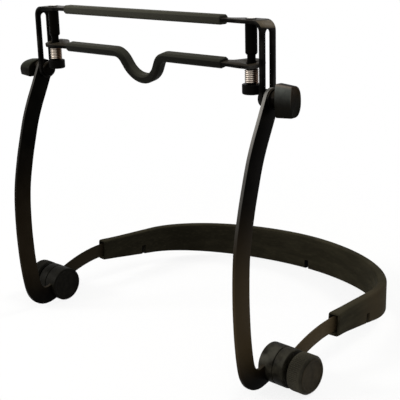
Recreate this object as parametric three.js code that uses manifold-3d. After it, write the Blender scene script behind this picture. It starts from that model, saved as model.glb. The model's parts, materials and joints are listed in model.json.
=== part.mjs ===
// A neck-worn holder: a padded spring yoke rests on the shoulders, two bent arms stand
// up from friction hubs at its ends, and a tilting frame between the arms clamps a flat
// instrument between a fixed padded bar and a sprung padded bar.
// Millimetres, -Y forward, +Z up, right and left as seen from the front, +X to the right.

import * as THREE from 'three';
import { mergeVertices } from 'three/addons/utils/BufferGeometryUtils.js';
import Module from 'manifold-3d';

const wasm = await Module();
wasm.setup();

// Clearances shared by all pieces
const runningGap = 0.3;
const padGap = 0.2;
const rodGap = 0.1;
const cutOverrun = 5;

// Upper frame: one strip bent into a wide U that hangs open side down
const frameInnerHalf = 99.5;
const frameThickness = 2.2;
const frameWidth = 12.6;
const frameBendRadius = 4;
const frameTopRise = 43.6;
const barFrontInset = 0.9;
const barMiddleWidth = 6.4;
const barFlareSpace = 1.8;
const barFlareRun = 13;
const slotHalfWidth = 2.75;
const slotTopSpace = 5.3;

// Rubber sleeves on the two clamping bars
const padEndSpace = 18.6;
const padWall = 1.5;
const padSideWall = 0.5;
const padCorner = 1;

// Posts that guide the lower bar
const postInset = 10.6;
const rodRadius = 2.45;
const rivetRadius = 3.1;
const rivetHeight = 0.9;
const sleeveRadius = 3.5;
const sleeveLength = 17.6;
const capRadius = 5.6;
const capHeight = 6;
const capChamfer = 0.9;
const capFloor = 2;

// Clamping springs on the rods
const springLength = 9;
const springRadius = 4;
const springWire = 0.95;
const springCurlCount = 4.5;

// Lower clamping bar, rocked back a little in its play on the rods
const barThickness = 2.2;
const barHoleGap = 0.5;
const barTilt = 10;
const barBelowSleeve = 4.4;
const barEndReach = 7;
const barEndBack = 7.8;
const barEndCorner = 5.5;
const dipRadius = 15.4;
const dipShoulder = 9.5;
const dipWall = 4;
const dipAngle = 60;

// Bent arms
const armGap = 0.5;
const armThickness = 2.5;
const armWidth = 12.7;
const armBow = 31.44;
const armTopSetback = 3.14;
const pivotDistance = 163.4;
const armLineShares = [
  [0.1, 1], [0.28, 0.925], [0.45, 0.855], [0.583, 0.79], [0.7, 0.714], [0.822, 0.625],
  [0.933, 0.521], [0.984, 0.43], [1, 0.32], [0.99, 0.234], [0.965, 0.154], [0.917, 0.075],
  [0.852, 0.02], [0.72, -0.015], [0.52, -0.0275], [0.25, -0.016], [0, 0],
];

// Upper pivots: bolt, spacing collar and thumb knob
const boltRadius = 2.5;
const boltHeadRadius = 5.2;
const boltHeadHeight = 2.8;
const collarRadius = 5;
const collarLength = 4.3;
const collarFlange = 1.3;
const collarFlangeRadius = 6.2;
const thumbLength = 11.2;
const thumbHalfHeight = 9.6;
const thumbBack = 6;
const thumbFront = 4.4;
const thumbFrontBulge = 0.8;
const thumbShoulder = 0.6;
const thumbFullnessShare = 0.85;
const thumbBoreDepth = 7;
const thumbTurnDegrees = { right: 0, left: 98 };
const thumbRingShares = [
  [0, 0.95, 0.93], [0.05, 1, 1], [0.5, 0.965, 0.93], [0.95, 0.925, 0.86], [1, 0.89, 0.8],
];

// Lower pivots: drums on the arm and on the yoke, spacer and knob
const hubRadius = 12.2;
const hubChamfer = 0.8;
const armHubInset = 3.1;
const armHubWidth = 10.6;
const neckHubWidth = 7.5;
const strapSetIn = 1.9;
const pivotBoltRadius = 3;
const armHubFace = 2.4;
const spacerRadius = 7.5;
const spacerLength = 2.4;
const knobLength = 11.2;
const knobChamfer = 1.2;
const knobFloor = 2.5;

// Yoke: a flat spring band with an eye at each end, inside a padded collar
const springBandHeight = 10.3;
const springBandThickness = 1.2;
const springEyeRadius = 8;
const strapReach = 46.7;
const strapRise = 11.8;
const yokeSideLength = 48.9;
const yokeTaper = 3.7;
const yokeBowDepth = 73.9;
const yokeRoundnessShare = 1.88;
const collarFrontHeight = 15.5;
const collarBackHeight = 27;
const collarThickness = 6.8;
const collarCorner = 2.4;

// Fineness of round shapes, in steps
const circleSteps = 32;
const cornerSteps = 4;
const armSteps = 30;
const strapSteps = 6;
const sideSteps = 3;
const bowSteps = 14;
const thumbFrontSteps = 6;
const thumbBackSteps = 12;
const curlSteps = 8;
const wireSides = 5;

// Places that follow from the sizes
const frameOuterHalf = frameInnerHalf + frameThickness;
const postPlace = frameInnerHalf - postInset;
const padHalfLength = postPlace - padEndSpace;
const barFlareStart = padHalfLength + barFlareSpace;
const armInner = frameOuterHalf + armGap;
const armOuter = armInner + armThickness;
const collarStart = armOuter + runningGap / 2;
const thumbStart = collarStart + collarLength + runningGap / 2;
const armHubStart = armInner - armHubInset;
const armHubEnd = armHubStart + armHubWidth;
const neckHubStart = armHubEnd + runningGap;
const neckHubEnd = neckHubStart + neckHubWidth;
const strapPlane = neckHubStart + strapSetIn;
const yokeHalfWidth = strapPlane - yokeTaper;
const spacerStart = neckHubEnd + runningGap / 2;
const knobStart = spacerStart + spacerLength + runningGap / 2;
const knobEnd = knobStart + knobLength;
const lowerPivotHeight = hubRadius;
const upperPivotHeight = lowerPivotHeight + pivotDistance;
const frameUnderside = frameTopRise - frameThickness;
const slotLength = frameUnderside - slotTopSpace;
const frameFront = -frameWidth / 2;
const barFront = frameFront + barFrontInset;
const barRear = barFront + barMiddleWidth;
const sleeveEnd = frameUnderside - sleeveLength;
const barMiddleHeight = sleeveEnd - barBelowSleeve - barThickness / 2;
const tiltTurn = THREE.MathUtils.degToRad(barTilt);
const springTop = barMiddleHeight - barThickness / 2 / Math.cos(tiltTurn)
  - springRadius * Math.tan(tiltTurn) - runningGap;
const capTop = springTop - springLength;
const capBottom = capTop - capHeight;
const rodEnd = capBottom + capFloor + runningGap;
const sides = { right: 1, left: -1 };

// Turns a closed three.js shape into a solid with its faces pointing out
function solid(geometry) {
  geometry.deleteAttribute('normal');
  geometry.deleteAttribute('uv');
  const merged = mergeVertices(geometry);
  const places = merged.attributes.position.array;
  const corners = [];
  let volume = 0;
  const a = new THREE.Vector3();
  const b = new THREE.Vector3();
  const c = new THREE.Vector3();
  for (let face = 0; face < merged.index.count; face += 3) {
    const [i, j, k] = merged.index.array.subarray(face, face + 3);
    if (i === j || j === k || k === i) continue;
    corners.push(i, j, k);
    a.fromArray(places, i * 3);
    b.fromArray(places, j * 3);
    c.fromArray(places, k * 3);
    volume += a.dot(b.cross(c));
  }
  const triVerts = Uint32Array.from(volume < 0 ? corners.reverse() : corners);
  return new wasm.Manifold(new wasm.Mesh({ numProp: 3, vertProperties: places, triVerts }));
}

// Extrudes an outline square to one axis: x takes outlines drawn in Y and Z, y takes
// outlines drawn in X and Z, z takes outlines drawn in X and Y
function plate(axis, outline, low, high) {
  const depth = high - low;
  const curveSegments = circleSteps / 2;
  const geometry = new THREE.ExtrudeGeometry(outline, { depth, bevelEnabled: false, curveSegments });
  const unitX = new THREE.Vector3(1, 0, 0);
  const unitY = new THREE.Vector3(0, 1, 0);
  const unitZ = new THREE.Vector3(0, 0, 1);
  const turn = new THREE.Matrix4();
  if (axis === 'x') {
    turn.makeBasis(unitY, unitZ, unitX).setPosition(low, 0, 0);
  } else if (axis === 'y') {
    turn.makeBasis(unitX, unitZ, unitY.negate()).setPosition(0, high, 0);
  } else {
    turn.setPosition(0, 0, low);
  }
  return solid(geometry.applyMatrix4(turn));
}

// Revolves a closed profile of [radius, place along the axis] pairs
function turned(axis, profile, sideSign = 1) {
  const points = profile.map(([radius, along]) => new THREE.Vector2(radius, along * sideSign));
  points.push(points[0].clone());
  const geometry = new THREE.LatheGeometry(points, circleSteps);
  return solid(axis === 'x' ? geometry.rotateZ(-Math.PI / 2) : geometry.rotateX(Math.PI / 2));
}

// A ring or disc with its outer edges broken by a chamfer
function drumProfile(inner, outer, start, end, chamfer) {
  return [
    [inner, start], [outer - chamfer, start], [outer, start + chamfer],
    [outer, end - chamfer], [outer - chamfer, end], [inner, end],
  ];
}

// Skins a row of equal rings and closes both ends
function loft(rings) {
  const places = rings.flat().flatMap((point) => point.toArray());
  const count = rings[0].length;
  const last = (rings.length - 1) * count;
  const faces = [];
  for (let ring = 0; ring < last; ring += count) {
    for (let at = 0; at < count; at += 1) {
      const next = (at + 1) % count;
      faces.push(ring + at, ring + next, ring + count + next);
      faces.push(ring + at, ring + count + next, ring + count + at);
    }
  }
  for (let at = 1; at < count - 1; at += 1) {
    faces.push(0, at + 1, at);
    faces.push(last, last + at, last + at + 1);
  }
  const geometry = new THREE.BufferGeometry();
  geometry.setAttribute('position', new THREE.Float32BufferAttribute(places, 3));
  geometry.setIndex(faces);
  return solid(geometry);
}

// Outline of a strip of constant width along a row of points
function stripOutline(points, halfWidth, roundEnds) {
  const before = [];
  const after = [];
  points.forEach((point, at) => {
    const back = points[Math.max(at - 1, 0)];
    const ahead = points[Math.min(at + 1, points.length - 1)];
    const along = ahead.clone().sub(back).normalize();
    const across = new THREE.Vector2(-along.y, along.x).multiplyScalar(halfWidth);
    before.push(point.clone().add(across));
    after.unshift(point.clone().sub(across));
  });
  if (!roundEnds) return new THREE.Shape([...before, ...after]);
  const cap = (centre, from) => {
    const arm = from.clone().sub(centre);
    const turns = Array.from({ length: circleSteps / 2 - 1 }, (_, at) => (at + 1) / (circleSteps / 2));
    return turns.map((share) => arm.clone().rotateAround(new THREE.Vector2(), -Math.PI * share).add(centre));
  };
  const endCap = cap(points.at(-1), before.at(-1));
  const startCap = cap(points[0], after.at(-1));
  return new THREE.Shape([...before, ...endCap, ...after, ...startCap]);
}

function circle(radius, across = 0, up = 0) {
  return new THREE.Shape().absarc(across, up, radius, 0, Math.PI * 2);
}

// A round hole along one axis, right through
function drill(axis, radius, across, up, low, high) {
  return plate(axis, circle(radius, across, up), low - cutOverrun, high + cutOverrun);
}

function addPiece(parent, name, body, material) {
  const { numProp, vertProperties, triVerts } = body.getMesh();
  const geometry = new THREE.BufferGeometry();
  geometry.setAttribute('position', new THREE.Float32BufferAttribute(vertProperties, numProp));
  geometry.setIndex(new THREE.Uint32BufferAttribute(triVerts, 1));
  const piece = new THREE.Mesh(geometry, material);
  piece.name = name;
  parent.add(piece);
}

function finish(color, roughness, metalness) {
  return new THREE.MeshStandardMaterial({ color, roughness, metalness });
}

const blackSteel = () => finish(0x16161a, 0.4, 0.6);
const springSteel = () => finish(0x2a2a2c, 0.45, 0.8);
const brightSteel = () => finish(0xb9b7b0, 0.3, 1);
const blackRubber = () => finish(0x131313, 0.75, 0);
const mouldedBlack = () => finish(0x1b1b1b, 0.6, 0);

// Plan of a clamping bar: narrow in the middle, flaring to its full width at the ends
function barPlan(halfLength, endFront, endBack, endCorner) {
  const flare = Array.from({ length: cornerSteps * 2 + 1 }, (_, at) => at / (cornerSteps * 2));
  const ease = (share) => share * share * (3 - 2 * share);
  const rearEdge = flare.map((share) => new THREE.Vector2(
    barFlareStart + barFlareRun * share,
    barRear + (endBack - barRear) * ease(share),
  ));
  const frontEdge = flare.map((share) => new THREE.Vector2(
    barFlareStart + barFlareRun * share,
    barFront + (endFront - barFront) * ease(share),
  ));
  const half = [...frontEdge];
  const turnCorner = (across, up, start) => {
    for (let step = 0; step <= cornerSteps; step += 1) {
      const angle = start + (Math.PI / 2) * (step / cornerSteps);
      half.push(new THREE.Vector2(across + endCorner * Math.cos(angle), up + endCorner * Math.sin(angle)));
    }
  };
  turnCorner(halfLength - endCorner, endFront + endCorner, -Math.PI / 2);
  turnCorner(halfLength - endCorner, endBack - endCorner, 0);
  half.push(...rearEdge.reverse());
  const mirrored = half.map((point) => new THREE.Vector2(-point.x, point.y)).reverse();
  return new THREE.Shape([...half, ...mirrored]);
}

// Centre line of the lower bar in X and Z: flat, with a round dip in the middle
function dipLine(halfLength) {
  const angle = THREE.MathUtils.degToRad(dipAngle);
  const bowlEdge = new THREE.Vector2(dipRadius * Math.sin(angle), dipRadius * (1 - Math.cos(angle)));
  const wall = new THREE.Vector2(Math.cos(angle), Math.sin(angle)).multiplyScalar(dipWall);
  const wallTop = bowlEdge.clone().add(wall);
  const depth = wallTop.y + dipShoulder * (1 - Math.cos(angle));
  const half = [];
  for (let step = 1; step <= cornerSteps * 2; step += 1) {
    const turn = angle * (step / (cornerSteps * 2));
    half.push(new THREE.Vector2(dipRadius * Math.sin(turn), dipRadius * (1 - Math.cos(turn)) - depth));
  }
  const shoulderX = wallTop.x + dipShoulder * Math.sin(angle);
  for (let step = 0; step <= cornerSteps; step += 1) {
    const turn = angle * (1 - step / cornerSteps);
    half.push(new THREE.Vector2(
      shoulderX - dipShoulder * Math.sin(turn),
      -dipShoulder * (1 - Math.cos(turn)),
    ));
  }
  half.push(new THREE.Vector2(halfLength, 0));
  const mirrored = half.map((point) => new THREE.Vector2(-point.x, point.y)).reverse();
  return [...mirrored, new THREE.Vector2(0, -depth), ...half];
}

// Outline with rounded corners, centred on a point
function roundedBox(halfWidth, halfHeight, corner, across = 0, up = 0) {
  const points = [];
  const quarters = [[1, 1], [-1, 1], [-1, -1], [1, -1]];
  quarters.forEach(([signX, signY], quarter) => {
    for (let step = 0; step < cornerSteps; step += 1) {
      const angle = (Math.PI / 2) * (quarter + step / (cornerSteps - 1));
      points.push(new THREE.Vector2(
        across + signX * (halfWidth - corner) + corner * Math.cos(angle),
        up + signY * (halfHeight - corner) + corner * Math.sin(angle),
      ));
    }
  });
  return points;
}

// Rubber sleeve round a bar whose middle line lies in X and Z
function barPad(line, thickness) {
  const halfHeight = thickness / 2 + padGap + padWall;
  const front = barFront - padGap - padSideWall;
  const rear = barRear + padGap + padSideWall;
  const middle = (front + rear) / 2;
  const section = roundedBox((rear - front) / 2, halfHeight, padCorner, middle, 0);
  const rings = line.map((point, at) => {
    const back = line[Math.max(at - 1, 0)];
    const ahead = line[Math.min(at + 1, line.length - 1)];
    const along = ahead.clone().sub(back).normalize();
    return section.map((spot) => new THREE.Vector3(
      point.x - along.y * spot.y,
      spot.x,
      point.y + along.x * spot.y,
    ));
  });
  const longer = line.map((point) => point.clone());
  longer[0].x -= cutOverrun;
  longer.at(-1).x += cutOverrun;
  const bore = plate(
    'y',
    stripOutline(longer, thickness / 2 + padGap, false),
    barFront - padGap,
    barRear + padGap,
  );
  return loft(rings).subtract(bore);
}

// Upper frame with its slotted legs, around the upper pivot line
function upperFrame() {
  const middleHalf = frameOuterHalf - frameThickness / 2;
  const bend = frameBendRadius + frameThickness / 2;
  const middleTop = frameTopRise - frameThickness / 2;
  const legEnd = -frameWidth / 2;
  const half = [new THREE.Vector2(middleHalf, legEnd - cutOverrun)];
  for (let step = 0; step <= cornerSteps * 2; step += 1) {
    const angle = (Math.PI / 2) * (step / (cornerSteps * 2));
    half.push(new THREE.Vector2(
      middleHalf - bend + bend * Math.cos(angle),
      middleTop - bend + bend * Math.sin(angle),
    ));
  }
  const mirrored = half.map((point) => new THREE.Vector2(-point.x, point.y)).reverse();
  const archOutline = stripOutline([...half, ...mirrored], frameThickness / 2, false);
  const arch = plate('y', archOutline, frameFront, -frameFront);
  const plan = plate(
    'z',
    barPlan(frameOuterHalf + cutOverrun, frameFront, -frameFront, cutOverrun / 2),
    frameUnderside - frameBendRadius,
    frameTopRise + cutOverrun,
  );
  const legSide = new THREE.Shape();
  legSide.moveTo(-frameFront, frameTopRise + cutOverrun);
  legSide.lineTo(frameFront, frameTopRise + cutOverrun);
  legSide.absarc(0, 0, frameWidth / 2, Math.PI, Math.PI * 2);
  const slot = stripOutline([new THREE.Vector2(0, slotLength), new THREE.Vector2()], slotHalfWidth, true);
  const reach = frameOuterHalf + cutOverrun;
  const legs = plate('x', legSide, -reach, reach).subtract(plate('x', slot, -reach, reach));
  const legZone = plate(
    'z',
    roundedOutline(reach, frameWidth),
    legEnd - cutOverrun,
    frameUnderside - frameBendRadius / 2,
  );
  const holes = Object.values(sides).map((sign) => drill(
    'z', rodRadius + rodGap, sign * postPlace, 0, frameUnderside, frameTopRise,
  ));
  return arch.intersect(plan.add(legZone)).intersect(legs).subtract(holes[0]).subtract(holes[1]);
}

function roundedOutline(halfWidth, halfDepth) {
  const points = [[1, 1], [-1, 1], [-1, -1], [1, -1]];
  return new THREE.Shape(points.map(([across, up]) => new THREE.Vector2(across * halfWidth, up * halfDepth)));
}

function straightLine(halfLength, height) {
  return [new THREE.Vector2(-halfLength, height), new THREE.Vector2(halfLength, height)];
}

// Lower bar about its own middle plane
function lowerBar() {
  const reach = postPlace + barEndReach;
  const profile = plate('y', stripOutline(dipLine(reach), barThickness / 2, false), frameFront, barEndBack);
  const tall = dipRadius * 2 + cutOverrun;
  const plan = plate('z', barPlan(reach, frameFront, barEndBack, barEndCorner), -tall, tall);
  const holes = Object.values(sides).map((sign) => drill(
    'z', rodRadius + barHoleGap, sign * postPlace, 0, -barThickness, barThickness,
  ));
  return profile.intersect(plan).subtract(holes[0]).subtract(holes[1]);
}

// Guide post: riveted head over the frame and a rod down to the end cap
function post(sign) {
  const profile = [
    [0, rodEnd], [rodRadius, rodEnd], [rodRadius, frameTopRise], [rivetRadius, frameTopRise],
    [rivetRadius, frameTopRise + rivetHeight / 2], [rivetRadius / 2, frameTopRise + rivetHeight],
    [0, frameTopRise + rivetHeight],
  ];
  return turned('z', profile).translate([sign * postPlace, 0, 0]);
}

function sleeve(sign) {
  const profile = drumProfile(rodRadius + rodGap, sleeveRadius, sleeveEnd, frameUnderside, rodGap);
  return turned('z', profile).translate([sign * postPlace, 0, 0]);
}

function endCap(sign) {
  const boreFloor = capBottom + capFloor;
  const profile = [
    [0, capBottom], [capRadius - capChamfer, capBottom], [capRadius, capBottom + capChamfer],
    [capRadius, capTop - capChamfer], [capRadius - capChamfer, capTop], [rodRadius + rodGap, capTop],
    [rodRadius + rodGap, boreFloor], [0, boreFloor],
  ];
  return turned('z', profile).translate([sign * postPlace, 0, 0]);
}

// Points of the spring's wire and its rings; both ends stand straight for one wire width
function springRings(sign) {
  const radius = springRadius - springWire / 2;
  const pitch = (springLength - springWire * 2) / springCurlCount;
  const steps = springCurlCount * curlSteps;
  const line = [new THREE.Vector3(radius, 0, capTop)];
  for (let step = 0; step <= steps; step += 1) {
    const angle = (Math.PI * 2 * step) / curlSteps;
    line.push(new THREE.Vector3(
      radius * Math.cos(angle),
      radius * Math.sin(angle),
      capTop + springWire + (pitch * step) / curlSteps,
    ));
  }
  const lastPoint = line.at(-1);
  line.push(new THREE.Vector3(lastPoint.x, lastPoint.y, springTop));
  return line.map((point, at) => {
    const back = line[Math.max(at - 1, 0)];
    const ahead = line[Math.min(at + 1, line.length - 1)];
    const along = ahead.clone().sub(back).normalize();
    const out = new THREE.Vector3(point.x, point.y, 0).normalize();
    const across = new THREE.Vector3().crossVectors(along, out).normalize();
    const square = new THREE.Vector3().crossVectors(across, along).normalize();
    return Array.from({ length: wireSides }, (_, side) => {
      const angle = (Math.PI * 2 * side) / wireSides;
      return point.clone()
        .addScaledVector(square, (springWire / 2) * Math.cos(angle))
        .addScaledVector(across, (springWire / 2) * Math.sin(angle))
        .add(new THREE.Vector3(sign * postPlace, 0, 0));
    });
  });
}

// Smallest distance between points of the wire more than half a curl apart
function leastSpringGap(rings) {
  let least = Infinity;
  rings.forEach((ring, at) => {
    rings.slice(at + curlSteps / 2).forEach((other) => {
      ring.forEach((point) => other.forEach((spot) => {
        least = Math.min(least, point.distanceTo(spot));
      }));
    });
  });
  return least;
}

// Middle line of the arms in Y and Z, from the upper pivot round the hook to the drum
function armLine() {
  const points = armLineShares.map(([forward, up]) => new THREE.Vector2(
    -forward * armBow,
    lowerPivotHeight + up * pivotDistance,
  ));
  points[0].x = -armTopSetback;
  return new THREE.SplineCurve(points).getSpacedPoints(armSteps);
}

function arm(sign) {
  const [low, high] = [armInner * sign, armOuter * sign].sort((a, b) => a - b);
  const strip = plate('x', stripOutline(armLine(), armWidth / 2, true), low, high);
  const top = drill('x', boltRadius + runningGap, -armTopSetback, upperPivotHeight, low, high);
  const bottom = drill('x', pivotBoltRadius + runningGap, 0, lowerPivotHeight, low, high);
  return strip.subtract(top).subtract(bottom);
}

// Drum moulded over the arm's lower end and the inner end of the pivot bolt
function armHub(sign) {
  const floor = armHubStart + armHubFace;
  const bore = pivotBoltRadius + rodGap;
  const profile = [
    [0, armHubStart], [hubRadius - hubChamfer, armHubStart], [hubRadius, armHubStart + hubChamfer],
    [hubRadius, armHubEnd - hubChamfer], [hubRadius - hubChamfer, armHubEnd], [bore, armHubEnd],
    [bore, floor], [0, floor],
  ];
  const low = (armInner - runningGap) * sign;
  const high = (armOuter + runningGap) * sign;
  const pocket = plate(
    'x',
    stripOutline(armLine(), armWidth / 2 + runningGap, true),
    Math.min(low, high),
    Math.max(low, high),
  );
  return turned('x', profile, sign).translate([0, 0, lowerPivotHeight]).subtract(pocket);
}

// Drum at the yoke's end, closed round the eye of its spring band
function neckHub(sign) {
  const profile = drumProfile(pivotBoltRadius + runningGap, hubRadius, neckHubStart, neckHubEnd, hubChamfer);
  return turned('x', profile, sign).translate([0, 0, lowerPivotHeight])
    .subtract(neckBand(runningGap));
}

// Bolt from the arm's drum through the yoke's drum and the spacer into the knob
function pivotBolt(sign) {
  const start = armHubStart + armHubFace + rodGap;
  const tip = knobEnd - knobFloor - runningGap;
  const profile = [[0, start], [pivotBoltRadius, start], [pivotBoltRadius, tip], [0, tip]];
  return turned('x', profile, sign).translate([0, 0, lowerPivotHeight]);
}

function pivotSpacer(sign) {
  const end = spacerStart + spacerLength;
  const profile = drumProfile(pivotBoltRadius + rodGap, spacerRadius, spacerStart, end, rodGap);
  return turned('x', profile, sign).translate([0, 0, lowerPivotHeight]);
}

function lowerKnob(sign) {
  const bore = pivotBoltRadius + rodGap;
  const profile = [
    [bore, knobStart], [hubRadius - knobChamfer, knobStart], [hubRadius, knobStart + knobChamfer],
    [hubRadius, knobEnd - knobChamfer], [hubRadius - knobChamfer, knobEnd], [0, knobEnd],
    [0, knobEnd - knobFloor], [bore, knobEnd - knobFloor],
  ];
  return turned('x', profile, sign).translate([0, 0, lowerPivotHeight]);
}

// Pieces on the upper pivot line, around that line
function clampBolt(sign) {
  const headStart = frameInnerHalf - boltHeadHeight - runningGap / 2;
  const headEnd = frameInnerHalf - runningGap / 2;
  const tip = thumbStart + thumbBoreDepth - runningGap;
  const profile = [
    [0, headStart], [boltHeadRadius - rodGap * 4, headStart], [boltHeadRadius, headStart + rodGap * 6],
    [boltHeadRadius, headEnd], [boltRadius, headEnd], [boltRadius, tip], [0, tip],
  ];
  return turned('x', profile, sign);
}

function clampCollar(sign) {
  const end = collarStart + collarLength;
  const profile = [
    [boltRadius + rodGap, collarStart], [collarFlangeRadius, collarStart],
    [collarFlangeRadius, collarStart + collarFlange], [collarRadius, collarStart + collarFlange],
    [collarRadius, end], [boltRadius + rodGap, end],
  ];
  return turned('x', profile, sign);
}

// Section of the thumb knob: a nearly flat front, short flat ends and a round back
function thumbSection() {
  const round = (value) => Math.sign(value) * Math.abs(value) ** thumbFullnessShare;
  const back = Array.from({ length: thumbBackSteps + 1 }, (_, at) => Math.PI * (at / thumbBackSteps - 0.5))
    .map((angle) => [
      (thumbBack + thumbShoulder) * round(Math.max(Math.cos(angle), 0)) - thumbShoulder,
      thumbHalfHeight * round(Math.sin(angle)),
    ]);
  const front = Array.from({ length: thumbFrontSteps + 1 }, (_, at) => 1 - 2 * (at / thumbFrontSteps))
    .map((share) => [-thumbFront - thumbFrontBulge * (1 - share * share), thumbHalfHeight * share]);
  return [...back, ...front];
}

// Thumb knob, narrowing outwards
function thumbKnob(side) {
  const sign = sides[side];
  const turn = THREE.MathUtils.degToRad(thumbTurnDegrees[side]);
  const section = thumbSection();
  const rings = thumbRingShares.map(([along, tall, deep]) => section.map(([across, up]) => new THREE.Vector3(
    sign * (thumbStart + thumbLength * along),
    across * deep * Math.cos(turn) - up * tall * Math.sin(turn),
    across * deep * Math.sin(turn) + up * tall * Math.cos(turn),
  )));
  const bore = turned('x', [
    [0, thumbStart - cutOverrun], [boltRadius + rodGap, thumbStart - cutOverrun],
    [boltRadius + rodGap, thumbStart + thumbBoreDepth], [0, thumbStart + thumbBoreDepth],
  ], sign);
  return loft(rings).subtract(bore);
}

// Middle points of the yoke's band, from the right eye round the back to the left eye,
// each with the height of the padded collar there
function yokeStations() {
  const half = [];
  const bendStart = strapReach + yokeSideLength;
  const back = bendStart + yokeBowDepth;
  const padRise = lowerPivotHeight + strapRise;
  const onPad = (x, y) => {
    const share = (y - strapReach) / (back - strapReach);
    return {
      place: new THREE.Vector3(x, y, padRise + (collarBackHeight / 2 - padRise) * share),
      height: collarFrontHeight + (collarBackHeight - collarFrontHeight) * share,
      padded: true,
    };
  };
  for (let step = 0; step < strapSteps; step += 1) {
    const share = step / strapSteps;
    const z = lowerPivotHeight + strapRise * (1 - (1 - share) ** 2);
    half.push({ place: new THREE.Vector3(strapPlane, strapReach * share, z), padded: false });
  }
  for (let step = 0; step < sideSteps; step += 1) {
    const share = step / sideSteps;
    half.push(onPad(strapPlane + (yokeHalfWidth - strapPlane) * share, strapReach + yokeSideLength * share));
  }
  for (let step = 0; step < bowSteps; step += 1) {
    const angle = (Math.PI / 2) * (step / bowSteps);
    const power = 2 / yokeRoundnessShare;
    half.push(onPad(
      yokeHalfWidth * Math.cos(angle) ** power,
      bendStart + yokeBowDepth * Math.sin(angle) ** power,
    ));
  }
  const mirrored = half.map((station) => ({
    ...station,
    place: new THREE.Vector3(-station.place.x, station.place.y, station.place.z),
  })).reverse();
  return [...half, onPad(0, back), ...mirrored];
}

// Skins a section, given as points across and up, along the yoke's stations
function alongYoke(stations, sectionAt) {
  return loft(stations.map((station, at) => {
    const back = stations[Math.max(at - 1, 0)].place;
    const ahead = stations[Math.min(at + 1, stations.length - 1)].place;
    const along = ahead.clone().sub(back).normalize();
    const across = new THREE.Vector3(along.y, -along.x, 0).normalize();
    const up = new THREE.Vector3().crossVectors(across, along);
    return sectionAt(station).map((spot) => station.place.clone()
      .addScaledVector(across, spot.x)
      .addScaledVector(up, spot.y));
  }));
}

// The spring band with an eye round each pivot, grown on all sides by a clearance
function neckBand(grow) {
  const halfThick = springBandThickness / 2 + grow;
  const halfHigh = springBandHeight / 2 + grow;
  const section = [[1, 1], [-1, 1], [-1, -1], [1, -1]]
    .map(([across, up]) => new THREE.Vector2(across * halfThick, up * halfHigh));
  const eye = (sign) => plate(
    'x',
    circle(springEyeRadius + grow, 0, lowerPivotHeight),
    sign * strapPlane - halfThick,
    sign * strapPlane + halfThick,
  );
  return alongYoke(yokeStations(), () => section).add(eye(1)).add(eye(-1));
}

function neckSpring() {
  const reach = strapPlane + springBandThickness;
  return neckBand(0).subtract(drill('x', pivotBoltRadius + runningGap, 0, lowerPivotHeight, -reach, reach));
}

function neckPad() {
  const stations = yokeStations().filter((station) => station.padded);
  const skin = alongYoke(stations, ({ height }) => (
    roundedBox(collarThickness / 2, height / 2, collarCorner)
  ));
  return skin.subtract(neckBand(padGap));
}

const holder = new THREE.Group();
addPiece(holder, 'neck_spring', neckSpring(), springSteel());
addPiece(holder, 'neck_pad', neckPad(), blackRubber());

// The tilting frame and what it carries is built round the upper pivot line
const clamp = new THREE.Group();
clamp.position.set(0, -armTopSetback, upperPivotHeight);
holder.add(clamp);
addPiece(clamp, 'upper_frame', upperFrame(), blackSteel());
addPiece(
  clamp,
  'upper_pad',
  barPad(straightLine(padHalfLength, 0), frameThickness).translate([0, 0, frameTopRise - frameThickness / 2]),
  blackRubber(),
);

const clampBar = new THREE.Group();
clampBar.position.set(0, 0, barMiddleHeight);
clampBar.rotation.x = tiltTurn;
clamp.add(clampBar);
addPiece(clampBar, 'lower_bar', lowerBar(), blackSteel());
addPiece(clampBar, 'lower_pad', barPad(dipLine(padHalfLength), barThickness), blackRubber());

for (const [side, sign] of Object.entries(sides)) {
  addPiece(holder, `${side}_arm`, arm(sign), blackSteel());
  addPiece(holder, `${side}_arm_hub`, armHub(sign), mouldedBlack());
  addPiece(holder, `${side}_neck_hub`, neckHub(sign), mouldedBlack());
  addPiece(holder, `${side}_pivot_bolt`, pivotBolt(sign), brightSteel());
  addPiece(holder, `${side}_pivot_spacer`, pivotSpacer(sign), springSteel());
  addPiece(holder, `${side}_lower_knob`, lowerKnob(sign), mouldedBlack());
  addPiece(clamp, `${side}_clamp_bolt`, clampBolt(sign), blackSteel());
  addPiece(clamp, `${side}_clamp_collar`, clampCollar(sign), springSteel());
  addPiece(clamp, `${side}_thumb_knob`, thumbKnob(side), mouldedBlack());
  addPiece(clamp, `${side}_post`, post(sign), blackSteel());
  addPiece(clamp, `${side}_sleeve`, sleeve(sign), blackSteel());
  addPiece(clamp, `${side}_end_cap`, endCap(sign), mouldedBlack());
  addPiece(clamp, `${side}_spring`, loft(springRings(sign)), brightSteel());
}
console.log(`clamping springs: least gap to themselves ${leastSpringGap(springRings(1)).toFixed(2)} mm`);

// The origin is under the middle of the holder, on the surface it stands on
const bounds = new THREE.Box3().setFromObject(holder);
holder.position.set(0, -bounds.getCenter(new THREE.Vector3()).y, -bounds.min.z);

export default holder;
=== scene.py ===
import json
import math

import bmesh
import bpy
from bpy.props import FloatProperty, FloatVectorProperty, IntProperty, PointerProperty
from bpy.types import Operator, Panel, PropertyGroup
from mathutils import Matrix, Vector


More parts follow.
